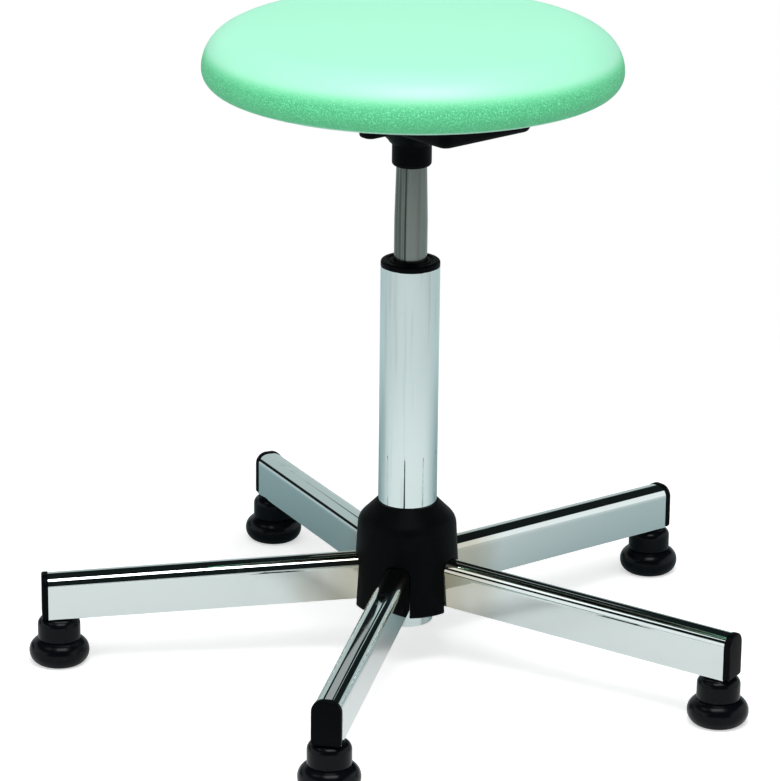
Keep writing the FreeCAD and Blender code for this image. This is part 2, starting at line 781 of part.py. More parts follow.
def make_gas_cylinder():
    """The pressure tube, lipped below round its seal, with a tapered top that holds the valve."""
    body = new_body("gas_cylinder")
    lip_bore = "rod_radius + cylinder_wall"
    pin_bore = "valve_pin_radius + running_gap"
    revolve(body, [
        (lip_bore, CYLINDER_BOTTOM),
        ("cylinder_radius", CYLINDER_BOTTOM),
        ("cylinder_radius", CYLINDER_TAPER),
        (cylinder_cone(CYLINDER_TOP), CYLINDER_TOP),
        (pin_bore, CYLINDER_TOP),
        (pin_bore, VALVE_TOP),
        ("cylinder_neck_radius", VALVE_TOP),
        ("cylinder_neck_radius", NECK_BOTTOM),
        (CYLINDER_BORE, f"{NECK_BOTTOM} - cylinder_neck_slope_length"),
        (CYLINDER_BORE, f"{CYLINDER_BOTTOM} + cylinder_lip"),
        (lip_bore, f"{CYLINDER_BOTTOM} + cylinder_lip"),
    ], "cylinder")


def make_cylinder_seal():
    """The guide and seal round the rod, on the cylinder's lower lip."""
    body = new_body("cylinder_seal")
    low = f"{CYLINDER_BOTTOM} + cylinder_lip"
    revolve(body, ring("rod_radius + running_gap", f"{CYLINDER_BORE} - fit_gap", low, f"{low} + seal_length"),
            "seal")


def make_valve():
    """The valve's block under the cylinder's top, and the pin that the lever presses."""
    block = new_body("valve_block")
    side = "cylinder_neck_radius - fit_gap"
    bore = "valve_pin_radius + running_gap"
    low = f"{VALVE_TOP} - valve_block_length"
    revolve(block, [
        ("0", low),
        (side, low),
        (side, VALVE_TOP),
        (bore, VALVE_TOP),
        (bore, f"{VALVE_TOP} - valve_hole_depth"),
        ("0", f"{VALVE_TOP} - valve_hole_depth"),
    ], "block")
    pin = new_body("valve_pin")
    revolve(pin, [
        ("0", f"{PIN_TOP} - valve_pin_length"),
        ("valve_pin_radius", f"{PIN_TOP} - valve_pin_length"),
        ("valve_pin_radius", PIN_TOP),
        ("0", PIN_TOP),
    ], "pin")


def make_cone_socket():
    """The collar under the plate, bored to the cylinder's taper."""
    body = new_body("cone_socket")
    revolve(body, [
        (f"{cylinder_cone(COLLAR_BOTTOM)} + fit_gap", COLLAR_BOTTOM),
        ("socket_radius - socket_round", COLLAR_BOTTOM),
        ("socket_radius", f"{COLLAR_BOTTOM} + socket_round", "socket_round", LEFT),
        ("socket_radius", PAN_INSIDE),
        (f"{cylinder_cone(PAN_INSIDE)} + fit_gap", PAN_INSIDE),
    ], "socket")


# Seat plate and its release lever, with the plate's short side along X

def make_seat_plate():
    """The pressed plate: a pan with a flange above and a neck drawn down round the socket."""
    body = new_body("seat_plate", "plate_turn")
    flange = draw(body, "flange_outline", "XY_Plane", [rounded_rectangle(
        "pan_width + 2 * flange_width", "pan_length + 2 * flange_width", "flange_corner_round",
    )], height=f"{SEAT_BOTTOM} - plate_thickness")
    pad(body, flange, "plate_thickness", "flange")
    outside = draw(body, "pan_outline", "XY_Plane", [rounded_rectangle(
        "pan_width", "pan_length", "pan_corner_round")], height=PAN_BOTTOM)
    pan = pad(body, outside, "pan_depth", "pan")
    round_edges(body, pan, lies_at("Z", PAN_BOTTOM), "pan_bend_round", "pan_bend")
    neck_low = f"({PAN_BOTTOM} - neck_drop)"
    bore = "(socket_radius + fit_gap)"
    revolve(body, [
        ("socket_radius / 2", neck_low),
        (f"{bore} + neck_edge", neck_low),
        (f"{bore} + plate_thickness", f"{neck_low} + neck_lip"),
        ("neck_top_radius", f"{PAN_BOTTOM} + plate_thickness / 2"),
        ("socket_radius / 2", f"{PAN_BOTTOM} + plate_thickness / 2"),
    ], "drawn_neck")
    inside = draw(body, "pan_hollow_outline", "XY_Plane", [rounded_rectangle(
        "pan_width - 2 * plate_thickness", "pan_length - 2 * plate_thickness",
        "(pan_corner_round - plate_thickness)")], height=SEAT_BOTTOM)
    cut(body, "PartDesign::Pocket", inside, "pan_hollow", "pan_depth - plate_thickness")
    funnel = draw(body, "funnel_profile", "XZ_Plane", [[
        ("0", f"{neck_low} - plate_thickness"),
        (bore, f"{neck_low} - plate_thickness"),
        (bore, f"{neck_low} + neck_lip + plate_thickness / 2"),
        ("neck_top_radius - plate_thickness", PAN_INSIDE),
        ("neck_top_radius - plate_thickness", f"{PAN_INSIDE} + plate_thickness"),
        ("0", f"{PAN_INSIDE} + plate_thickness"),
    ]])
    cut(body, "PartDesign::Groove", funnel, "funnel")
    holes = draw(body, "screw_hole_outline", "XY_Plane", height=SEAT_BOTTOM,
                 circles=at_screws("screw_radius + bed_gap"))
    cut(body, "PartDesign::Pocket", holes, "screw_holes", "plate_thickness")
    slot_side = "(lever_rod_radius + 2 * bed_gap)"
    slot = draw(body, "lever_slot_outline", "YZ_Plane", [tombstone(
        f"2 * {slot_side}",
        f"{LEVER_HEIGHT} - {slot_side}",
        f"({LEVER_HEIGHT} + {slot_side} + lever_slot_rise)",
        "lever_rod_radius",
        "-lever_side_offset",
    )], height="plate_thickness * 2 - pan_width / 2")
    cut(body, "PartDesign::Pocket", slot, "lever_slot", "plate_thickness * 3")


def make_lever():
    """The bent rod: a finger over the valve pin, an axle along the pan and an arm out to the grip."""
    body = new_body("release_lever", "plate_turn")
    path = draw(body, "lever_path", "XY_Plane", [[
        ("lever_finger_past", "0"),
        ("lever_bend_round - lever_finger", "0"),
        ("-lever_finger", "-lever_bend_round", "lever_bend_round", LEFT),
        ("-lever_finger", "lever_bend_round - lever_side_offset"),
        ("-lever_finger - lever_bend_round", "-lever_side_offset", "lever_bend_round", RIGHT),
        ("-lever_reach", "-lever_side_offset"),
    ]], height=LEVER_HEIGHT, closed=False)
    section = draw(body, "lever_section", "YZ_Plane", circles=[("0", LEVER_HEIGHT, "lever_rod_radius")],
                   height="lever_finger_past")
    sweep = body.newObject("PartDesign::AdditivePipe", "lever_rod")
    sweep.Profile = section
    sweep.Spine = path
    doc.recompute()


def make_lever_grip():
    """The flat moulded grip on the lever's outer end."""
    body = new_body("lever_grip", "plate_turn")
    outer = "(lever_reach + grip_end_wall)"
    flat = draw(body, "grip_outline", "XY_Plane", [rounded_rectangle(
        "grip_length", "grip_width", "grip_corner_round", f"grip_length / 2 - {outer}", "-lever_side_offset",
    )], height=f"{LEVER_HEIGHT} - grip_thickness / 2")
    block = pad(body, flat, "grip_thickness", "grip")
    low = lies_at("Z", f"{LEVER_HEIGHT} - grip_thickness / 2")
    high = lies_at("Z", f"{LEVER_HEIGHT} + grip_thickness / 2")
    round_edges(body, block, lambda edge: low(edge) or high(edge), "grip_edge_round", "grip_edges")
    bore = draw(body, "grip_bore_outline", "YZ_Plane", height=f"grip_length - {outer}",
                circles=[("-lever_side_offset", LEVER_HEIGHT, "lever_rod_radius + fit_gap")])
    cut(body, "PartDesign::Pocket", bore, "grip_bore", "grip_length - grip_end_wall")


def make_lever_brackets():
    """The two upright plates on the pan's floor that carry the lever's axle."""
    for place, label in enumerate(("lever_bracket_inner", "lever_bracket_outer")):
        body = new_body(label, "plate_turn")
        offset = f"bracket_inner_offset + {place} * bracket_spacing - bracket_thickness / 2"
        face = draw(body, f"{label}_outline", "XZ_Plane", [tombstone(
            "2 * bracket_half_width", PAN_INSIDE, f"({LEVER_HEIGHT} + bracket_half_width)",
            "bracket_top_round", "-lever_finger",
        )], [("-lever_finger", LEVER_HEIGHT, "lever_rod_radius + running_gap")], height=offset)
        pad(body, face, "bracket_thickness", f"{label}_plate")


# Seat: screws, nuts, board and pad

def make_plate_screws():
    """Four screws up through the plate's flange, one solid each."""
    body = new_body("plate_screws", "plate_turn")
    under = f"({SEAT_BOTTOM} - plate_thickness)"
    heads = draw(body, "screw_head_outline", "XY_Plane", height=f"{under} - screw_head_height",
                 circles=at_screws("screw_head_radius"))
    pad(body, heads, "screw_head_height", "screw_heads")
    shanks = draw(body, "screw_shank_outline", "XY_Plane", height=under, circles=at_screws("screw_radius"))
    pad(body, shanks, "plate_thickness + board_thickness - bed_gap", "screw_shanks")


def make_t_nuts():
    """Four flanged nuts let into the board from above, one solid each."""
    body = new_body("t_nuts", "plate_turn")
    low = f"({SEAT_BOTTOM} + bed_gap)"
    bores = at_screws("screw_radius + fit_gap")
    barrels = draw(body, "nut_barrel_outline", "XY_Plane", height=low,
                   circles=at_screws("nut_barrel_radius") + bores)
    pad(body, barrels, "board_thickness - bed_gap", "nut_barrels")
    flanges = draw(body, "nut_flange_outline", "XY_Plane", height=f"{BOARD_TOP} - nut_flange_thickness",
                   circles=at_screws("nut_flange_radius") + bores)
    pad(body, flanges, "nut_flange_thickness", "nut_flanges")


def make_seat_board():
    """The stiff disc in the pad's underside, drilled and counterbored for the nuts."""
    body = new_body("seat_board", "plate_turn")
    face = draw(body, "board_outline", "XY_Plane", circles=[("0", "0", BOARD_RADIUS)], height=SEAT_BOTTOM)
    pad(body, face, "board_thickness", "board")
    holes = draw(body, "nut_hole_outline", "XY_Plane", height=BOARD_TOP,
                 circles=at_screws("nut_barrel_radius + fit_gap"))
    cut(body, "PartDesign::Pocket", holes, "nut_holes", "board_thickness")
    recesses = draw(body, "nut_recess_outline", "XY_Plane", height=BOARD_TOP,
                    circles=at_screws("nut_flange_radius + fit_gap"))
    cut(body, "PartDesign::Pocket", recesses, "nut_recesses", "nut_flange_thickness")


def make_seat_pad():
    """The moulded pad: a crowned top, a soft shoulder, drawn-in sides and a recess for the board."""
    body = new_body("seat_pad")
    recess = f"{BOARD_RADIUS} + bed_gap"
    roof = f"({BOARD_TOP} + bed_gap)"
    widest = f"({SEAT_BOTTOM} + pad_lower_round)"
    side_end = "(pad_radius - pad_side_round + pad_side_round * sin(pad_shoulder_angle))"
    side_top = f"({widest} + pad_side_round * cos(pad_shoulder_angle))"
    crown_start = f"({side_end} - pad_shoulder_round * sin(pad_shoulder_angle))"
    crown_foot = f"({side_top} + pad_shoulder_round * (1 - cos(pad_shoulder_angle)))"
    revolve(body, [
        (recess, SEAT_BOTTOM),
        (PAD_FOOT, SEAT_BOTTOM),
        ("pad_radius", widest, "pad_lower_round", LEFT),
        (side_end, side_top, "pad_side_round", LEFT),
        (crown_start, crown_foot, "pad_shoulder_round", LEFT),
        ("0", f"{crown_foot} + pad_crown", DOME, LEFT),
        ("0", roof),
        (recess, roof),
    ], "pad_form")


def check_document():
    """Stops if any object of the document failed or any sub-part has no sound shape."""
    for item in doc.Objects:
        if "Invalid" in item.State or "Error" in item.State:
            raise ValueError(f"{item.Label} did not build: {item.State}")
    for node in nodes:
        if node.Shape.isNull() or not node.Shape.isValid() or not node.Shape.Solids:
            raise ValueError(f"{node.Label} has no sound solid")


make_hub_core()
make_hub_cover()
for arm_index in range(int(value("arm_count"))):
    arm_turn = f"({arm_index} * 360 / arm_count - 90)"
    make_arm(arm_index + 1, arm_turn)
    make_arm_cap(arm_index + 1, arm_turn)
    make_glide_socket(arm_index + 1, arm_turn)
    make_glide(arm_index + 1, arm_turn)
    make_glide_stem(arm_index + 1, arm_turn)
make_column_tube()
make_guide_bush()
make_piston_rod()
make_rod_pieces()
make_bearing_cage()
make_bearing_balls()
make_gas_cylinder()
make_cylinder_seal()
make_valve()
make_cone_socket()
make_seat_plate()
make_lever()
make_lever_grip()
make_lever_brackets()
make_plate_screws()
make_t_nuts()
make_seat_board()
make_seat_pad()
doc.recompute()
check_document()

os.makedirs("parts", exist_ok=True)
for node in nodes:
    node.Shape.exportStep(f"parts/{node.Label}.step")
    box = node.Shape.BoundBox
    print(f"{node.Label}: {len(node.Shape.Solids)} solid, {node.Shape.Volume:.0f} mm3, "
          f"z {box.ZMin:.2f} to {box.ZMax:.2f}")
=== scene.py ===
"""Medical stool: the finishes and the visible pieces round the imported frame, in metres."""
import json
import logging
import math
from dataclasses import dataclass, field
from enum import Enum
from typing import Any, Iterable, Mapping, Sequence

import bmesh
import bpy
from mathutils import Matrix, Vector


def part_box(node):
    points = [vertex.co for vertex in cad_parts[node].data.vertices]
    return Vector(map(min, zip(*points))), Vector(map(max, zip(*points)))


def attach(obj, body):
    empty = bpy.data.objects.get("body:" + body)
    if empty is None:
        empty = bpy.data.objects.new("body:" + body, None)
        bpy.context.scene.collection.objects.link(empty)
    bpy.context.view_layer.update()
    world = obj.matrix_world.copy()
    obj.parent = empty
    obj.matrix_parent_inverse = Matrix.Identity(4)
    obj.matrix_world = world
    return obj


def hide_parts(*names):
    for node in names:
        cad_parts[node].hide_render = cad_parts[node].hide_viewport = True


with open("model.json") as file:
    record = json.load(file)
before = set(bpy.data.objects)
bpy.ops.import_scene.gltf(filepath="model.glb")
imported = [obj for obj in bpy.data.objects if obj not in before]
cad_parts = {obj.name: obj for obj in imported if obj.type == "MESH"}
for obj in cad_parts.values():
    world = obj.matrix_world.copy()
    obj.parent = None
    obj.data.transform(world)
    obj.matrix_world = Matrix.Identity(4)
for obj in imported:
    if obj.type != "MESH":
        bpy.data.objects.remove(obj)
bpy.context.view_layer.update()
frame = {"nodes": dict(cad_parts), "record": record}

MM = 0.001
PICTURE_HEIGHT = 781
SENSOR = 36.0
LATHE_STEPS = 128
SMALL_LATHE_STEPS = 96
WIDE_LATHE_STEPS = 192
ARC_STEP = math.radians(7.5)
CORNER_STEPS = 8
SHARP_EDGE = math.radians(35)
SAME_POINT = 1e-6
LEVEL = (1.0, 1.0, 0.0)
WHITE = (1.0, 1.0, 1.0)

Colour = tuple[float, float, float]
Triple = tuple[float, float, float]
Span = tuple[float, float]
Mesh = bmesh.types.BMesh
Vert = bmesh.types.BMVert
Edge = bmesh.types.BMEdge
log = logging.getLogger("stool")


class Turn(Enum):
    """Which way an arc bends on its way to its end."""
    LEFT = 1
    RIGHT = -1


class Body(Enum):
    """The moving groups of the stool that the pieces ride on."""
    BASE = "base"
    SEAT = "seat"
    LEVER = "lever"


# Shader writing

class Wire:
    """One output of a shader node; arithmetic on it adds Math nodes."""

    def __init__(self, web: "Web", socket: bpy.types.NodeSocket) -> None:
        """Keeps the output and the tree that it belongs to."""
        self.web = web
        self.socket = socket

    def output(self, name: str) -> "Wire":
        """Another output of the same node."""
        return Wire(self.web, self.socket.node.outputs[name])

    def math(self, operation: str, first: Any, second: Any) -> "Wire":
        """A Math node of two values or wires."""
        return self.web.node("ShaderNodeMath", {"operation": operation}, {0: first, 1: second})

    def __add__(self, other: Any) -> "Wire":
        """This plus a value."""
        return self.math("ADD", self, other)

    def __sub__(self, other: Any) -> "Wire":
        """This minus a value."""
        return self.math("SUBTRACT", self, other)

    def __rsub__(self, other: Any) -> "Wire":
        """A value minus this."""
        return self.math("SUBTRACT", other, self)

    def __mul__(self, other: Any) -> "Wire":
        """This times a value."""
        return self.math("MULTIPLY", self, other)

    def at_least(self, other: Any) -> "Wire":
        """The greater of this and a value."""
        return self.math("MAXIMUM", self, other)

    __radd__ = __add__
    __rmul__ = __mul__


class Web:
    """A node tree that is written as expressions."""

    def __init__(self, tree: bpy.types.NodeTree) -> None:
        """Starts from an empty tree."""
        self.tree = tree
        tree.nodes.clear()

    def node(self, kind: str, settings: Mapping[str, Any] | None = None,
             sockets: Mapping[str | int, Any] | None = None, output: str | int = 0) -> Wire | None:
        """Adds one node.

        Args:
            kind: The node's type.
            settings: Properties that are set first; stops are a ramp's places and greys.
            sockets: Values or wires for its inputs, by name or number.
            output: The output that the returned wire stands for.

        Returns:
            A wire, or None for a node with no outputs.
        """
        node = self.tree.nodes.new(kind)
        for key, setting in (settings or {}).items():
            if key == "stops":
                self._set_stops(node.color_ramp, setting)
            else:
                setattr(node, key, setting)
        for key, given in (sockets or {}).items():
            self._feed(node.inputs[key], given)
        return Wire(self, node.outputs[output]) if node.outputs else None

    def _feed(self, socket: bpy.types.NodeSocket, given: Any) -> None:
        """Links a wire to an input, or sets its value.

        Args:
            socket: The input.
            given: A wire, a number, a vector or a colour.
        """
        if isinstance(given, Wire):
            self.tree.links.new(given.socket, socket)
        elif socket.type == "RGBA" and len(given) == 3:
            socket.default_value = (*given, 1.0)
        else:
            socket.default_value = given

    @staticmethod
    def _set_stops(ramp: bpy.types.ColorRamp, stops: Sequence[Span]) -> None:
        """Gives a ramp its grey stops.

        Args:
            ramp: A new ramp.
            stops: The place and the grey of each stop, in order.
        """
        while len(ramp.elements) < len(stops):
            ramp.elements.new(1.0)
        for element, (place, grey) in zip(ramp.elements, stops):
            element.position = place
            element.color = (grey, grey, grey, 1.0)

    def place(self) -> Wire:
        """The point on the piece, in the frame's own metres."""
        return self.node("ShaderNodeTexCoord", output="Object")

    def height(self, place: Wire) -> Wire:
        """How high a place or a direction goes."""
        return self.node("ShaderNodeSeparateXYZ", {}, {0: place}, output="Z")

    def vector(self, operation: str, *parts: Any, output: str = "Vector") -> Wire:
        """A Vector Math node of vectors or wires."""
        return self.node("ShaderNodeVectorMath", {"operation": operation}, dict(enumerate(parts)), output)

    def length(self, way: Wire) -> Wire:
        """A vector's length."""
        return self.vector("LENGTH", way, output="Value")

    def along(self, way: Wire, other: Sequence[float]) -> Wire:
        """How far one vector goes along another."""
        return self.vector("DOT_PRODUCT", way, other, output="Value")

    def noise(self, place: Wire, scale: float, detail: float = 2.0, distortion: float = 0.0) -> Wire:
        """Soft noise from 0 to 1, with a scale in cycles per metre."""
        return self.node("ShaderNodeTexNoise", {}, {
            "Vector": place, "Scale": scale, "Detail": detail, "Distortion": distortion,
        })

    def drawn(self, place: Wire, scales: Triple, detail: float, distortion: float = 0.0) -> Wire:
        """Soft noise that is drawn out, with a scale for each axis in cycles per metre."""
        return self.noise(self.vector("MULTIPLY", place, scales), 1.0, detail, distortion)

    def cells(self, place: Wire, scale: float) -> Wire:
        """The distance to the edges of a cell pattern, with a scale in cells per metre."""
        return self.node("ShaderNodeTexVoronoi", {"feature": "DISTANCE_TO_EDGE"}, {
            "Vector": place, "Scale": scale,
        }, output="Distance")

    def step(self, given: Wire, low: float, high: float) -> Wire:
        """A smooth step from 0 at low to 1 at high."""
        return self.node("ShaderNodeMapRange", {"interpolation_type": "SMOOTHSTEP"}, {
            "Value": given, "From Min": low, "From Max": high,
        })

    def mix(self, factor: Any, first: Any, second: Any) -> Wire:
        """A colour between two."""
        return self.node("ShaderNodeMix", {"data_type": "RGBA"}, {0: factor, 6: first, 7: second}, output=2)

    def bump(self, height: Wire, strength: float, distance: float) -> Wire:
        """A normal tilted by a height that is worth a distance in metres."""
        return self.node("ShaderNodeBump", {}, {"Height": height, "Strength": strength, "Distance": distance})


# Finishes

def dimmed(colour: Colour, share: float) -> Colour:
    """A share of a colour."""
    return tuple(share * part for part in colour)


@dataclass(frozen=True)
class Finish:
    """A surface finish, by the record's slot that it stands for; scales are in cycles per metre."""
    slot: str
    label: str
    colour: Colour
    roughness: float

    def sockets(self, web: Web) -> dict[str, Any]:
        """The Principled shader's inputs; each finish gives its own."""
        raise NotImplementedError

    def material(self) -> bpy.types.Material:
        """Makes the finish's material the first time that it is asked for.

        Returns:
            The material.
        """
        found = bpy.data.materials.get(self.label)
        if found:
            return found
        made = bpy.data.materials.new(self.label)
        made.use_nodes = True
        web = Web(made.node_tree)
        shader = web.node("ShaderNodeBsdfPrincipled", {}, self.sockets(web))
        web.node("ShaderNodeOutputMaterial", {}, {"Surface": shader})
        return made


@dataclass(frozen=True)
class ChromePlate(Finish):
    """Bright plate with faint smudges, darker upright streaks on an upright tube, and painted shade with a
    straw cast near the hub.
    """
    smudge_scale: float = 34.0
    smudge_span: Span = (0.56, 0.74)
    smudge_share: float = 0.14
    smudge_dim: float = 0.86
    smudge_rough: float = 0.09
    streak_scales: Triple = (60.0, 60.0, 9.0)
    streak_rough: float = 0.02
    wave_scale: float = 16.0
    wave_strength: float = 0.05
    wave_depth: float = 0.4 * MM
    # Painted shade: the plate is dimmed to a straw colour near the hub.
    hub_shade_tint: Colour = (0.47, 0.44, 0.34)
    hub_shade_span: Span = (0.05, 0.115)
    hub_shade_waver: float = 0.05
    hub_shade_waver_scale: float = 30.0
    hub_shade_share: float = 0.0
    # Darker upright streaks along Z, laid at random.
    upright_streak_scales: Triple = (190.0, 190.0, 7.0)
    upright_streak_span: Span = (0.52, 0.72)
    upright_streak_dim: float = 0.7
    upright_streak_share: float = 0.0

    def sockets(self, web: Web) -> dict[str, Any]:
        """Plate that wavers a little, as drawn tube does.

        Args:
            web: The tree to write in.

        Returns:
            The Principled shader's inputs.
        """
        place = web.place()
        smudge = web.step(web.noise(place, self.smudge_scale, detail=4.0, distortion=0.6), *self.smudge_span)
        streak = web.drawn(place, self.streak_scales, detail=3.0)
        wave = web.noise(place, self.wave_scale, detail=1.0)
        plate = web.mix(smudge * self.smudge_share, self.colour, dimmed(self.colour, self.smudge_dim))
        # Painted shade near the hub, dimming the plate to straw.
        if self.hub_shade_share:
            reach = web.length(web.vector("MULTIPLY", place, LEVEL))
            wavered = reach + self.hub_shade_waver * (web.noise(place, self.hub_shade_waver_scale) - 0.5)
            near = 1.0 - web.step(wavered, *self.hub_shade_span)
            plate = web.mix(near * self.hub_shade_share, plate, self.hub_shade_tint)
        # Darker upright streaks along Z.
        if self.upright_streak_share:
            upright_streaks = web.step(web.drawn(place, self.upright_streak_scales, detail=2.0), *self.upright_streak_span)
            plate = web.mix(upright_streaks * self.upright_streak_share, plate, dimmed(self.colour, self.upright_streak_dim))
        return {
            "Base Color": plate,
            "Metallic": 1.0,
            "Roughness": self.roughness + self.smudge_rough * smudge + self.streak_rough * streak,
            "Normal": web.bump(wave, self.wave_strength, self.wave_depth),
        }


@dataclass(frozen=True)
class WornSteel(Finish):
    """Dark burnished steel with drawn bands, stains and a painted dark reflection line along the tube."""
    rubbed: Colour = (0.21, 0.245, 0.225)
    band_scales: Triple = (210.0, 210.0, 1.5)
    band_span: Span = (0.40, 0.58)
    band_share: float = 0.75
    line_scales: Triple = (700.0, 700.0, 6.0)
    stain: Colour = (0.10, 0.09, 0.06)
    stain_scales: Triple = (70.0, 70.0, 24.0)
    stain_span: Span = (0.58, 0.74)
    stain_share: float = 0.55
    stain_rough: float = 0.10
    ring_scales: Triple = (20.0, 20.0, 2600.0)
    ring_rough: float = 0.05
    ring_strength: float = 0.10
    ring_depth: float = 0.04 * MM
    # The seam colour is a painted reflection: a dark line down the tube, on the side facing a little left of
    # the camera.
    seam: Colour = (0.02, 0.026, 0.023)
    dark_line_way: Triple = (-0.146, -0.989, 0.0)
    dark_line_span: Span = (0.9970, 0.9994)
    dark_line_share: float = 0.8

    def sockets(self, web: Web) -> dict[str, Any]:
        """Bands and fine lines along Z, a few stains, and rings from the grinding.

        Args:
            web: The tree to write in.

        Returns:
            The Principled shader's inputs.
        """
        place = web.place()
        bands = web.step(web.drawn(place, self.band_scales, detail=1.0), *self.band_span)
        lines = web.drawn(place, self.line_scales, detail=3.0)
        stained = web.step(web.drawn(place, self.stain_scales, detail=3.0), *self.stain_span)
        rings = web.drawn(place, self.ring_scales, detail=2.0)
        drawn = web.mix(self.band_share * bands + (1.0 - self.band_share) * lines, self.colour, self.rubbed)
        # Painted reflection: a dark line down the tube.
        facing = web.along(web.vector("NORMALIZE", web.vector("MULTIPLY", place, LEVEL)), self.dark_line_way)
        dark_lined = web.mix(self.dark_line_share * web.step(facing, *self.dark_line_span), drawn, self.seam)
        return {
            "Base Color": web.mix(self.stain_share * stained, dark_lined, self.stain),
            "Metallic": 1.0,
            "Roughness": self.roughness + self.stain_rough * stained + self.ring_rough * rings,
            "Normal": web.bump(rings + lines, self.ring_strength, self.ring_depth),
        }


@dataclass(frozen=True)
class TurnedMetal(Finish):
    """Plain machined metal with fine tool marks."""
    mark_scales: Triple = (30.0, 30.0, 3200.0)
    mark_rough: float = 0.08
    mark_strength: float = 0.2
    mark_depth: float = 0.04 * MM
    stain_scale: float = 70.0
    stain_span: Span = (0.45, 0.75)
    stain_share: float = 0.6
    stain_dim: float = 0.7
    stain_rough: float = 0.12

    def sockets(self, web: Web) -> dict[str, Any]:
        """Rings of tool marks and a little staining.

        Args:
            web: The tree to write in.

        Returns:
            The Principled shader's inputs.
        """
        place = web.place()
        marks = web.drawn(place, self.mark_scales, detail=2.0)
        stain = web.step(web.noise(place, self.stain_scale, detail=3.0), *self.stain_span)
        return {
            "Base Color": web.mix(stain * self.stain_share, self.colour, dimmed(self.colour, self.stain_dim)),
            "Metallic": 1.0,
            "Roughness": self.roughness + self.stain_rough * stain + self.mark_rough * marks,
            "Normal": web.bump(marks, self.mark_strength, self.mark_depth),
        }


@dataclass(frozen=True)
class SatinBlack(Finish):
    """Moulding or powder coat: a fine pebble with a soft gloss."""
    pebble: float = 900.0
    relief: float = 0.06 * MM
    relief_strength: float = 0.35
    pebble_rough: float = 0.10
    gloss: float = 0.035
    rubbed: Colour = (0.0022, 0.003, 0.0036)
    rub_scale: float = 38.0
    rub_span: Span = (0.42, 0.72)
    rub_shine: float = 0.07

    def sockets(self, web: Web) -> dict[str, Any]:
        """A pebbled skin, a little paler and shinier where it has been handled.

        Args:
            web: The tree to write in.

        Returns:
            The Principled shader's inputs.
        """
        place = web.place()
        grain = web.noise(place, self.pebble, detail=3.0)
        handled = web.step(web.noise(place, self.rub_scale, detail=3.0, distortion=0.5), *self.rub_span)
        return {
            "Base Color": web.mix(handled, self.colour, self.rubbed),
            "Roughness": self.roughness + self.pebble_rough * (grain - 0.5) - self.rub_shine * handled,
            "Specular IOR Level": self.gloss,
            "Normal": web.bump(grain, self.relief_strength, self.relief),
        }


@dataclass(frozen=True)
class PlyBoard(Finish):
    """Pressed ply: long grain on the faces and thin plies at the edge."""
    late_wood: Colour = (0.05, 0.036, 0.026)
    figure_scales: Triple = (5.0, 34.0, 34.0)
    figure_share: float = 0.6
    pore_scales: Triple = (60.0, 1500.0, 1500.0)
    pore_share: float = 0.25
    pore_rough: float = 0.12
    pore_strength: float = 0.3
    pore_depth: float = 0.1 * MM
    ply_scale: float = 28.0
    ply_share: float = 0.15
    dark_span: Span = (0.38, 0.72)

    def sockets(self, web: Web) -> dict[str, Any]:
        """Grain along X, pores, and plies up Z.

        Args:
            web: The tree to write in.

        Returns:
            The Principled shader's inputs.
        """
        place = web.place()
        figure = web.drawn(place, self.figure_scales, detail=4.0, distortion=1.2)
        pores = web.drawn(place, self.pore_scales, detail=2.0)
        ply = web.node("ShaderNodeTexWave", {"bands_direction": "Z"}, {
            "Vector": place, "Scale": self.ply_scale,
        }, output="Fac")
        wood = self.figure_share * figure + self.pore_share * pores + self.ply_share * ply
        return {
            "Base Color": web.mix(web.step(wood, *self.dark_span), self.colour, self.late_wood),
            "Roughness": self.roughness + self.pore_rough * pores,
            "Normal": web.bump(pores, self.pore_strength, self.pore_depth),
        }


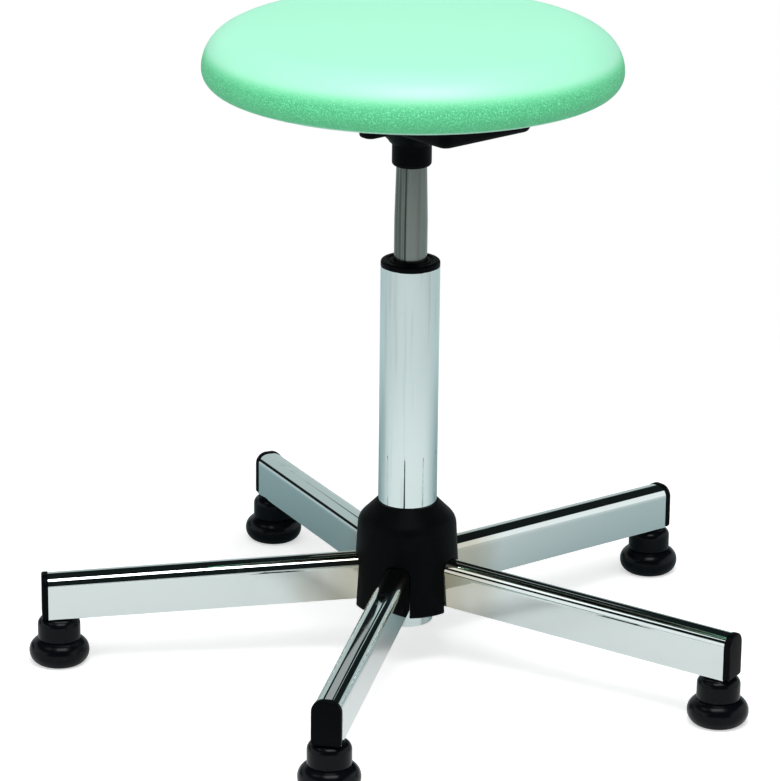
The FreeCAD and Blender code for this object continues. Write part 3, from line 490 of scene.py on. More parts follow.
@dataclass(frozen=True)
class MintFoam(Finish):
    """Self-skinned foam: a polished top whose paler colour is painted light, grained sides whose creases and
    lower part are painted shade, a pale rim that is a painted highlight and an underside darkened as painted
    shade.

    Its bands are heights above the floor with the seat at rest.
    """
    # The crease colour is painted shade: the grain's creases are painted darker, which also darkens the sides
    # against the top.
    shaded_crease: Colour = (0.07, 0.58, 0.24)
    ridge: Colour = (0.19, 0.88, 0.45)
    # The polished colour is painted light: the top is painted paler than the skin, as a painted sheen.
    polished: Colour = (0.38, 0.92, 0.64)
    # The rim colour is a painted highlight: a pale line along the pad's lower edge.
    rim: Colour = (0.46, 0.84, 0.66)
    # The underside colour is painted shade: the pad is darkened below its lower edge.
    underside: Colour = (0.055, 0.12, 0.088)
    shaded_under_band: Span = (0.5015, 0.5019)
    highlight_rim_band: Span = (0.5032, 0.5050)
    grain_band: Span = (0.520, 0.534)
    lit_top_band: Span = (0.524, 0.535)
    sway_scale: float = 300.0
    sway: float = 0.005
    grain_cells: float = 580.0
    crease_span: Span = (0.0, 0.32)
    fine_scale: float = 850.0
    fine_span: Span = (0.3, 0.7)
    raised_span: Span = (0.30, 0.86)
    low_shade: float = 0.4
    grain_rough: float = 0.10
    ridge_shine: float = 0.08
    gloss: float = 0.8
    top_grain: float = 0.06
    grain_strength: float = 0.8
    grain_depth: float = 0.40 * MM

    def sockets(self, web: Web) -> dict[str, Any]:
        """Wandering creases that fade out over the shoulder.

        Args:
            web: The tree to write in.

        Returns:
            The Principled shader's inputs.
        """
        place = web.place()
        swayed = web.noise(place, self.sway_scale).output("Color")
        skin = web.vector("MULTIPLY_ADD", swayed, (self.sway,) * 3, place)
        hide = web.cells(skin, self.grain_cells)
        fine = web.noise(skin, self.fine_scale)
        height = web.height(place)
        side = 1.0 - web.step(height, *self.grain_band)
        grain = web.step(hide, *self.crease_span) * 0.5 + web.step(fine, *self.fine_span) * 0.5
        raised = web.step(grain, *self.raised_span)
        # Painted light: the top is painted paler than the sides.
        smooth = web.mix(web.step(height, *self.lit_top_band), self.colour, self.polished)
        shade = self.low_shade * (1.0 - web.step(height, self.highlight_rim_band[1], self.grain_band[0]))
        # Painted shade in the grain's creases and towards the bottom.
        grained = web.mix(side, smooth, web.mix(raised * (1.0 - shade), self.shaded_crease, self.ridge))
        # Painted highlight: a pale line along the lower edge.
        edged = web.mix(web.step(height, *self.highlight_rim_band), self.rim, grained)
        relief = grain * (self.top_grain + (1.0 - self.top_grain) * side)
        return {
            # Painted shade on the underside.
            "Base Color": web.mix(web.step(height, *self.shaded_under_band), self.underside, edged),
            "Roughness": self.roughness + self.grain_rough * side - self.ridge_shine * raised * side,
            "Specular IOR Level": self.gloss,
            "Normal": web.bump(relief, self.grain_strength, self.grain_depth),
        }


CHROME = ChromePlate("chrome", "bright_chrome", (0.64, 0.715, 0.71), 0.03)
# Arms: chrome with painted shade near the hub.
HUB_SHADED_CHROME = ChromePlate("chrome", "hub_shaded_chrome", (0.64, 0.715, 0.71), 0.03, hub_shade_share=0.75)
SLEEVE_CHROME = ChromePlate("chrome", "sleeve_chrome", (0.61, 0.72, 0.715), 0.03, upright_streak_share=0.45)
CYLINDER_STEEL = WornSteel("cylinder_steel", "burnished_steel", (0.078, 0.095, 0.086), 0.17)
STEEL = TurnedMetal("steel", "turned_steel", (0.50, 0.51, 0.52), 0.28)
BRASS = TurnedMetal("brass", "turned_brass", (0.70, 0.52, 0.22), 0.26)
BLACK_MOULDING = SatinBlack("black_moulding", "satin_black", (0.0014, 0.0021, 0.0026), 0.46)
BLACK_RUBBED = SatinBlack("black_moulding", "black_rubbed", (0.002, 0.0028, 0.0045), 0.23, gloss=0.11)
GREY_MOULDING = SatinBlack("grey_moulding", "satin_grey", (0.20, 0.20, 0.21), 0.5, gloss=0.4,
                           rubbed=(0.25, 0.25, 0.26))
BLACK_PAINT = SatinBlack("black_paint", "black_powder_coat", (0.0012, 0.0018, 0.0021), 0.42,
                         pebble=520.0, relief=0.09 * MM)
RUBBER = SatinBlack("rubber", "black_rubber", (0.008, 0.008, 0.008), 0.7, pebble=1400.0, gloss=0.2)
PLY = PlyBoard("board", "stained_ply", (0.10, 0.078, 0.058), 0.55)
MINT = MintFoam("mint_foam", "mint_skin", (0.20, 0.86, 0.44), 0.45)
FINISHES = (CHROME, CYLINDER_STEEL, STEEL, BRASS, BLACK_MOULDING, GREY_MOULDING, BLACK_PAINT, RUBBER,
            PLY, MINT)


# Modelling

class Outline:
    """A section drawn with bmesh operators in the XZ plane, as radii and heights."""

    def __init__(self, x: float, z: float, bm: Mesh | None = None) -> None:
        """Starts at a point.

        Args:
            x: The point's radius.
            z: The point's height.
            bm: A mesh to draw in; without one the outline has its own.
        """
        self.bm = bm or bmesh.new()
        self.first = self.bm.verts.new((x, 0.0, z))
        self.last = self.first
        self.edges_before = set(self.bm.edges)

    def line(self, x: float, z: float) -> "Outline":
        """Draws a straight edge to a point.

        Args:
            x: The end's radius.
            z: The end's height.

        Returns:
            The outline, for the next edge.
        """
        self.last = bmesh.ops.extrude_vert_indiv(self.bm, verts=[self.last])["verts"][0]
        self.last.co = (x, 0.0, z)
        return self

    def arc(self, x: float, z: float, radius: float, turn: Turn = Turn.LEFT) -> "Outline":
        """Draws an arc to a point by spinning the last vertex about its centre.

        Args:
            x: The end's radius.
            z: The end's height.
            radius: The arc's radius.
            turn: Which way it bends on the way.

        Returns:
            The outline, for the next edge.
        """
        start, end = self.last.co.xz, Vector((x, z))
        chord = end - start
        half = chord.length / 2
        rise = math.sqrt(max(radius ** 2 - half ** 2, 0.0))
        centre = (start + end) / 2 + Vector((-chord.y, chord.x)).normalized() * rise * turn.value
        angle = 2 * math.asin(min(half / radius, 1.0)) * turn.value
        steps = max(2, math.ceil(abs(angle) / ARC_STEP))
        made = bmesh.ops.spin(self.bm, geom=[self.last], cent=(centre.x, 0.0, centre.y), axis=(0, -1, 0),
                              angle=angle, steps=steps, use_merge=False, use_duplicate=False)
        self.last = verts_in(made["geom_last"])[0]
        self.last.co = (x, 0.0, z)
        return self

    def edges(self) -> list[Edge]:
        """The edges that this outline has drawn."""
        return [edge for edge in self.bm.edges if edge not in self.edges_before]

    def lathe(self, closed: bool = True, steps: int = LATHE_STEPS) -> Mesh:
        """Spins the outline into a round piece about the Z axis.

        Args:
            closed: Whether the outline runs back to its start; an open one starts and ends on the axis.
            steps: Facets round the piece.

        Returns:
            The mesh, with its poles merged and its faces pointing out.
        """
        bm = self.bm
        if closed:
            bm.edges.new((self.last, self.first))
        bmesh.ops.spin(bm, geom=[*bm.verts, *bm.edges], cent=(0, 0, 0), axis=(0, 0, 1), angle=math.tau,
                       steps=steps, use_merge=True, use_duplicate=False)
        seal(bm)
        return bm


def verts_in(geom: Iterable[Any]) -> list[Vert]:
    """The vertices among an operator's results."""
    return [item for item in geom if isinstance(item, Vert)]


def edges_in(geom: Iterable[Any]) -> list[Edge]:
    """The edges among an operator's results."""
    return [item for item in geom if isinstance(item, Edge)]


def seal(bm: Mesh) -> None:
    """Merges doubled vertices and turns every face outwards."""
    bmesh.ops.remove_doubles(bm, verts=bm.verts, dist=SAME_POINT)
    bmesh.ops.recalc_face_normals(bm, faces=bm.faces)


def round_off(bm: Mesh, edges: Iterable[Edge], radius: float, segments: int = 4) -> None:
    """Bevels edges to a round of a radius."""
    bmesh.ops.bevel(bm, geom=list(edges), offset=radius, offset_type="OFFSET", affect="EDGES",
                    segments=segments, profile=0.5, material=-1, clamp_overlap=True)


def rounded_loop(bm: Mesh, width: float, length: float, corner: float, height: float) -> list[Edge]:
    """Draws a rectangle with rounded corners.

    Args:
        bm: The mesh to draw in.
        width: The size along X.
        length: The size along Y.
        corner: The corners' radius.
        height: The loop's height.

    Returns:
        The loop's edges.
    """
    before = set(bm.edges)
    verts = bmesh.ops.create_grid(bm, x_segments=1, y_segments=1, size=0.5)["verts"]
    bmesh.ops.scale(bm, vec=(width, length, 1.0), verts=verts)
    bmesh.ops.translate(bm, vec=(0.0, 0.0, height), verts=verts)
    bmesh.ops.bevel(bm, geom=verts, offset=corner, offset_type="OFFSET", affect="VERTICES",
                    segments=CORNER_STEPS, profile=0.5, material=-1, clamp_overlap=True)
    edges = [edge for edge in bm.edges if edge not in before]
    faces = {face for edge in edges for face in edge.link_faces}
    bmesh.ops.delete(bm, geom=list(faces), context="FACES_ONLY")
    return edges


def circle_loop(bm: Mesh, count: int, radius: float, height: float) -> list[Edge]:
    """Draws a circle about the Z axis.

    Args:
        bm: The mesh to draw in.
        count: How many edges it has.
        radius: Its radius.
        height: Its height.

    Returns:
        The circle's edges.
    """
    verts = bmesh.ops.create_circle(bm, segments=count, radius=radius)["verts"]
    bmesh.ops.translate(bm, vec=(0.0, 0.0, height), verts=verts)
    return list({edge for vert in verts for edge in vert.link_edges})


def bridge(bm: Mesh, *loops: Sequence[Edge]) -> None:
    """Joins each loop of edges to the next with faces."""
    for near, far in zip(loops, loops[1:]):
        bmesh.ops.bridge_loops(bm, edges=[*near, *far])


def push_edges(bm: Mesh, edges: Sequence[Edge], way: Sequence[float]) -> list[Edge]:
    """Extrudes a loop of edges into a wall.

    Args:
        bm: The edges' mesh.
        edges: The loop.
        way: How far the wall goes.

    Returns:
        The edges at the wall's far end.
    """
    made = bmesh.ops.extrude_edge_only(bm, edges=edges)["geom"]
    verts = verts_in(made)
    bmesh.ops.translate(bm, verts=verts, vec=way)
    return [edge for edge in edges_in(made) if all(vert in verts for vert in edge.verts)]


def pull_block(bm: Mesh, loop: Sequence[Edge], way: Sequence[float]) -> list[Any]:
    """Fills a loop of edges and extrudes it into a closed block.

    Args:
        bm: The loop's mesh.
        loop: Edges that go round a flat face.
        way: How far the block goes.

    Returns:
        The vertices, edges and faces at the block's far end.
    """
    face = bmesh.ops.contextual_create(bm, geom=loop)["faces"]
    made = bmesh.ops.extrude_face_region(bm, geom=face, use_keep_orig=True)["geom"]
    bmesh.ops.translate(bm, verts=verts_in(made), vec=way)
    return made


def turn_mesh(bm: Mesh, angle: float) -> Mesh:
    """Turns a mesh about the Z axis, and returns it."""
    bmesh.ops.rotate(bm, verts=bm.verts, cent=(0, 0, 0), matrix=Matrix.Rotation(angle, 3, "Z"))
    return bm


def new_object(name: str, bm: Mesh) -> bpy.types.Object:
    """Puts a mesh into the scene as an object, with its place in its vertices.

    Args:
        name: The object's name.
        bm: Its mesh, which is used up.

    Returns:
        The object.
    """
    mesh = bpy.data.meshes.new(name)
    bm.to_mesh(mesh)
    bm.free()
    made = bpy.data.objects.new(name, mesh)
    bpy.context.scene.collection.objects.link(made)
    return made


def carve(piece: bpy.types.Object, cutter: Mesh) -> None:
    """Cuts a closed mesh out of a piece, and keeps the result as the piece's own mesh.

    Args:
        piece: The piece, whose modifiers are used up too.
        cutter: The space to take out.
    """
    tool = new_object(f"{piece.name}_cutter", cutter)
    cut = piece.modifiers.new("carve", "BOOLEAN")
    cut.operation = "DIFFERENCE"
    cut.solver = "EXACT"
    cut.object = tool
    depsgraph = bpy.context.evaluated_depsgraph_get()
    carved = bpy.data.meshes.new_from_object(piece.evaluated_get(depsgraph))
    piece.modifiers.clear()
    piece.data = carved
    bpy.data.objects.remove(tool)


def soften_edges(piece: bpy.types.Object, width: float) -> None:
    """Rounds a piece's sharp edges a little, as a mould leaves them.

    Args:
        piece: The piece.
        width: How far the round reaches from an edge.
    """
    bevel = piece.modifiers.new("soft_edges", "BEVEL")
    bevel.width = width
    bevel.segments = 3
    bevel.limit_method = "ANGLE"
    bevel.angle_limit = SHARP_EDGE


def settle(piece: bpy.types.Object, finish: Finish, body: str, *nodes: str) -> None:
    """Dresses a piece, seats it on its body and lets it stand for its nodes.

    Args:
        piece: The piece, in place.
        finish: What it is made of.
        body: The body that it moves with.
        nodes: The nodes that it stands for.
    """
    piece.data.shade_smooth()
    piece.data.set_sharp_from_angle(angle=SHARP_EDGE)
    piece.data.materials.clear()
    piece.data.materials.append(finish.material())
    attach(piece, body)
    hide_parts(*nodes)
    log.info("%s: %d faces, on %s", piece.name, len(piece.data.polygons), body)


@dataclass(frozen=True)
class Stand:
    """The heights, the radius and the centre of a round node."""
    low: float
    high: float
    radius: float
    centre: Vector

    @classmethod
    def of(cls, node: str) -> "Stand":
        """Reads them from a node's box.

        Args:
            node: The node's name.

        Returns:
            Its stand.
        """
        low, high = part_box(node)
        centre = Vector(((low.x + high.x) / 2, (low.y + high.y) / 2, 0.0))
        return cls(low.z, high.z, (high.x - low.x) / 2, centre)


# Base

@dataclass
class Base:
    """The star base: hub cover, five tube arms, their end plugs and their feet."""
    arm_count: int = 5
    arm_width: float = 23.5 * MM
    arm_height: float = 38.0 * MM
    arm_wall: float = 1.8 * MM
    arm_round: float = 9.5 * MM
    arm_slope: float = math.radians(2.65)
    core_radius: float = 30.05 * MM
    seam: float = 0.4 * MM
    plug_depth: float = 5.4 * MM
    plug_margin: float = 0.7 * MM
    plug_edge: float = 1.8 * MM
    plug_foot: float = 3.0 * MM
    cover_wall: float = 2.5 * MM
    cover_foot: float = 2.0 * MM
    cover_shoulder: float = 42.1 * MM
    cover_round: float = 14.0 * MM
    cover_draft: float = math.radians(3.1)
    cover_cone: float = math.radians(45.0)
    cover_mouth: float = 25.1 * MM
    cover_lip: float = 1.4 * MM
    slot_gap: float = 0.3 * MM
    slot_edge: float = 0.5 * MM
    slot_start: float = 10.0 * MM
    slot_run: float = 15.0 * MM
    foot_wide: float = 10.5 * MM
    foot_sole: float = 19.5 * MM
    foot_sole_round: float = 11.5 * MM
    foot_shoulder: float = 21.2 * MM
    foot_shoulder_round: float = 11.0 * MM
    foot_neck: float = 18.15 * MM
    foot_neck_round: float = 6.8 * MM
    foot_step: float = 0.9 * MM
    stem: float = 5.55 * MM
    stem_depth: float = 28.0 * MM
    end: float = field(init=False)
    end_height: float = field(init=False)

    def __post_init__(self) -> None:
        """Reads where the first arm ends, which points along -Y."""
        low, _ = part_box("arm_1")
        self.end = -low.y
        self.end_height = low.z

    def heading(self, number: int) -> float:
        """How far an arm is turned from the first one."""
        return (number - 1) * math.tau / self.arm_count

    def underside(self, reach: float) -> float:
        """The height of an arm's flat underside at a distance from the column's axis."""
        return self.end_height + (self.end - reach) * math.tan(self.arm_slope)

    def tombstone(self, width: float, low: float, high: float, corner: float, foot: float,
                  bm: Mesh | None = None) -> Outline:
        """The arms' section: flat sides under a rounded top.

        Args:
            width: The size across.
            low: The foot's height.
            high: The top's height.
            corner: The top corners' radius.
            foot: The lower corners' radius.
            bm: A mesh to draw in, if there is one.

        Returns:
            The outline, which ends at its start.
        """
        half = width / 2
        path = Outline(foot - half, low, bm).line(half - foot, low)
        path.arc(half, low + foot, foot)
        path.line(half, high - corner - self.seam).line(half, high - corner)
        path.arc(half - corner, high, corner)
        path.line(corner - half, high)
        path.arc(-half, high - corner, corner)
        path.line(-half, high - corner - self.seam).line(-half, low + foot)
        return path.arc(foot - half, low, foot)

    def arm_mesh(self) -> Mesh:
        """One arm along -Y, a tube with a wall, coped to the hub's core.

        Returns:
            The mesh.
        """
        bm = bmesh.new()
        low = self.underside(0.0)
        walls = []
        for inset in (0.0, self.arm_wall):
            outline = self.tombstone(self.arm_width - 2 * inset, low + inset, low + self.arm_height - inset,
                                     self.arm_round - inset, self.seam, bm)
            walls.append(outline.edges())
        way = (0.0, -self.end, -self.end * math.tan(self.arm_slope))
        ends = [push_edges(bm, near, way) for near in walls]
        bridge(bm, *walls)
        bridge(bm, *ends)
        for vert in {vert for near in walls for edge in near for vert in edge.verts}:
            reach = math.sqrt(self.core_radius ** 2 - vert.co.x ** 2)
            vert.co.y = -reach
            vert.co.z -= reach * math.tan(self.arm_slope)
        seal(bm)
        return bm

    def plug_mesh(self) -> Mesh:
        """The plug on an arm's end, along -Y, with a rounded front edge.

        Returns:
            The mesh.
        """
        outline = self.tombstone(self.arm_width + 2 * self.plug_margin, self.end_height,
                                 self.end_height + self.arm_height + self.plug_margin,
                                 self.arm_round + self.plug_margin, self.plug_foot)
        bm = outline.bm
        bmesh.ops.remove_doubles(bm, verts=bm.verts, dist=SAME_POINT)
        front = pull_block(bm, list(bm.edges), (0.0, -self.plug_depth, 0.0))
        bmesh.ops.translate(bm, verts=bm.verts, vec=(0.0, -self.end, 0.0))
        round_off(bm, edges_in(front), self.plug_edge)
        seal(bm)
        return bm

    def foot_mesh(self, stand: Stand) -> Mesh:
        """One foot: a domed sole under a plain round neck, hollow for its stem.

        Args:
            stand: Where the foot is.

        Returns:
            The mesh, in place.
        """
        socket = stand.high - self.stem_depth
        path = Outline(0.0, stand.low).line(self.foot_sole, stand.low)
        path.arc(stand.radius, self.foot_wide, self.foot_sole_round)
        path.arc(self.foot_neck - self.foot_step, self.foot_shoulder, self.foot_shoulder_round)
        path.line(self.foot_neck, self.foot_shoulder + self.foot_step)
        path.line(self.foot_neck, stand.high - self.foot_neck_round)
        path.arc(self.foot_neck - self.foot_neck_round, stand.high, self.foot_neck_round)
        path.line(self.stem, stand.high).line(self.stem, socket).line(0.0, socket)
        bm = path.lathe(closed=False, steps=SMALL_LATHE_STEPS)
        bmesh.ops.translate(bm, verts=bm.verts, vec=stand.centre)
        return bm

    def cover_mesh(self, stand: Stand) -> Mesh:
        """The hub's cover before its slots are cut: drafted walls under a coned shoulder.

        Args:
            stand: Where the cover is.

        Returns:
            The mesh.
        """
        lip = self.cover_mouth + self.cover_lip
        bend_radius = self.cover_shoulder - self.cover_round * math.cos(self.cover_draft)
        cone_width = bend_radius + self.cover_round * math.sin(self.cover_cone) - lip
        bend_height = (stand.high - cone_width * math.tan(self.cover_cone)
                       - self.cover_round * math.cos(self.cover_cone))
        slope = math.pi / 2 - self.cover_cone

        def on_bend(tilt: float, inset: float = 0.0) -> Span:
            """The point of the shoulder's bend that faces up by a tilt."""
            reach = self.cover_round - inset
            return bend_radius + reach * math.cos(tilt), bend_height + reach * math.sin(tilt)

        def wall(height: float, inset: float = 0.0) -> float:
            """The drafted wall's radius at a height."""
            spread = (on_bend(self.cover_draft)[1] - height) * math.tan(self.cover_draft)
            return self.cover_shoulder + spread - inset / math.cos(self.cover_draft)

        foot = stand.low + self.cover_foot
        inner = on_bend(slope, self.cover_wall)
        path = Outline(wall(stand.low, self.cover_wall), stand.low)
        path.line(wall(foot) - self.cover_foot, stand.low)
        path.arc(wall(foot), foot, self.cover_foot).line(*on_bend(self.cover_draft))
        path.arc(*on_bend(slope), self.cover_round).line(lip, stand.high).line(self.cover_mouth, stand.high)
        path.line(self.cover_mouth, inner[1] + (inner[0] - self.cover_mouth) * math.tan(self.cover_cone))
        path.line(*inner)
        path.arc(*on_bend(self.cover_draft, self.cover_wall), self.cover_round - self.cover_wall, Turn.RIGHT)
        return path.lathe()

    def slots_mesh(self, stand: Stand) -> Mesh:
        """The space that the arms take out of the cover's wall.

        Args:
            stand: Where the cover is.

        Returns:
            The mesh, one closed block for each arm.
        """
        bm = bmesh.new()
        top = self.underside(self.cover_shoulder - self.cover_wall) + self.arm_height + self.slot_gap
        for number in range(1, self.arm_count + 1):
            before = set(bm.verts)
            outline = self.tombstone(self.arm_width + 2 * self.slot_gap, stand.low - self.cover_wall, top,
                                     self.arm_round + self.slot_gap, self.seam, bm)
            drawn = [vert for vert in bm.verts if vert not in before]
            bmesh.ops.remove_doubles(bm, verts=drawn, dist=SAME_POINT)
            edges = [edge for edge in outline.edges() if edge.is_valid]
            pull_block(bm, edges, (0.0, -self.slot_run, 0.0))
            verts = [vert for vert in bm.verts if vert not in before]
            bmesh.ops.translate(bm, verts=verts, vec=(0.0, self.slot_start - stand.radius, 0.0))
            spread = Matrix.Rotation(self.heading(number), 3, "Z")
            bmesh.ops.rotate(bm, verts=verts, cent=(0, 0, 0), matrix=spread)
        seal(bm)
        return bm

    def build(self) -> None:
        """Makes and dresses the base."""
        hub = Stand.of("hub_cover")
        cover = new_object("hub_shroud", self.cover_mesh(hub))
        carve(cover, self.slots_mesh(hub))
        soften_edges(cover, self.slot_edge)
        settle(cover, BLACK_MOULDING, Body.BASE.value, "hub_cover")
        for number in range(1, self.arm_count + 1):
            turn = self.heading(number)
            arm = new_object(f"arm_tube_{number}", turn_mesh(self.arm_mesh(), turn))
            settle(arm, HUB_SHADED_CHROME, Body.BASE.value, f"arm_{number}")
            plug = new_object(f"arm_plug_{number}", turn_mesh(self.plug_mesh(), turn))
            settle(plug, BLACK_MOULDING, Body.BASE.value, f"arm_cap_{number}")
            foot = new_object(f"foot_{number}", self.foot_mesh(Stand.of(f"glide_{number}")))
            settle(foot, BLACK_RUBBED, f"glide_{number}", f"glide_{number}")


# Column

@dataclass
class Column:
    """The plated tube, its bush and the gas cylinder that slides in it."""
    wall: float = 2.0 * MM
    taper_length: float = 98.0 * MM
    taper: float = math.radians(1.4377)
    lip: float = 0.5 * MM
    floor_lift: float = 5.0 * MM
    floor: float = 3.0 * MM
    floor_hole: float = 4.1 * MM
    bush_flange: float = 5.0 * MM
    bush_round: float = 2.2 * MM
    bush_bore_gap: float = 0.1 * MM
    bush_chamfer: float = 1.0 * MM
    bush_groove: float = 17.4 * MM
    bush_groove_width: float = 3.0 * MM
    bush_groove_depth: float = 0.9 * MM
    cylinder_taper: float = 93.0 * MM
    cylinder_end: float = 6.5 * MM
    cylinder_top_hole: float = 3.1 * MM

    def tube_mesh(self, stand: Stand) -> Mesh:
        """The outer tube with its tapered foot and its floor.

        Args:
            stand: Where the tube is.

        Returns:
            The mesh.
        """
        lean = math.tan(self.taper)
        taper_top = stand.low + self.taper_length

        def cone(height: float) -> float:
            """The taper's radius at a height."""
            return stand.radius - (taper_top - height) * lean

        under = stand.low + self.floor_lift
        over = under + self.floor
        path = Outline(self.floor_hole, under).line(cone(under) - self.wall, under)
        path.line(cone(stand.low) - self.wall, stand.low).line(cone(stand.low) - self.lip, stand.low)
        path.arc(cone(stand.low + self.lip), stand.low + self.lip, self.lip)
        path.line(stand.radius, taper_top).line(stand.radius, stand.high - self.lip)
        path.arc(stand.radius - self.lip, stand.high, self.lip)
        path.line(stand.radius - self.wall, stand.high).line(stand.radius - self.wall, taper_top)
        path.line(cone(over) - self.wall, over).line(self.floor_hole, over)
        return path.lathe()

    def bush_mesh(self, stand: Stand, bore: float) -> Mesh:
        """The guide bush, with a shallow ring sunk into its flange.

        Args:
            stand: Where the bush is.
            bore: The radius that the cylinder slides in.

        Returns:
            The mesh.
        """
        seat = stand.high - self.bush_flange
        sleeve = stand.radius - self.wall
        groove = self.bush_groove + self.bush_groove_width
        sunk = stand.high - self.bush_groove_depth
        path = Outline(bore, stand.low).line(sleeve, stand.low).line(sleeve, seat).line(stand.radius, seat)
        path.line(stand.radius, stand.high - self.bush_round)
        path.arc(stand.radius - self.bush_round, stand.high, self.bush_round)
        path.line(groove, stand.high).line(groove - self.bush_groove_depth, sunk)
        path.line(self.bush_groove, sunk).line(self.bush_groove - self.bush_groove_depth / 2, stand.high)
        path.line(bore + self.bush_chamfer, stand.high).line(bore, stand.high - self.bush_chamfer)
        return path.lathe()

    def cylinder_mesh(self, stand: Stand) -> Mesh:
        """The gas cylinder, with a rolled lower end and a tapered top.

        Args:
            stand: Where the cylinder is.

        Returns:
            The mesh.
        """
        top = stand.radius - self.cylinder_taper * math.tan(self.taper)
        path = Outline(self.cylinder_end, stand.low).line(stand.radius - self.wall, stand.low)
        path.arc(stand.radius, stand.low + self.wall, self.wall)
        path.line(stand.radius, stand.high - self.cylinder_taper).line(top, stand.high - self.lip)
        path.arc(top - self.lip, stand.high, self.lip)
        path.line(self.cylinder_top_hole, stand.high).line(self.cylinder_top_hole, stand.high - self.wall)
        path.line(self.cylinder_end, stand.high - self.cylinder_taper)
        return path.lathe(steps=SMALL_LATHE_STEPS)

    def build(self) -> None:
        """Makes and dresses the column."""
        tube, bush, cylinder = (Stand.of(node) for node in ("column_tube", "guide_bush", "gas_cylinder"))
        sleeve = new_object("column_sleeve", self.tube_mesh(tube))
        settle(sleeve, SLEEVE_CHROME, Body.BASE.value, "column_tube")
        collar = new_object("column_bush", self.bush_mesh(bush, cylinder.radius + self.bush_bore_gap))
        settle(collar, BLACK_MOULDING, Body.BASE.value, "guide_bush")
        lift = new_object("lift_cylinder", self.cylinder_mesh(cylinder))
        settle(lift, CYLINDER_STEEL, Body.SEAT.value, "gas_cylinder")


# Seat plate and lever

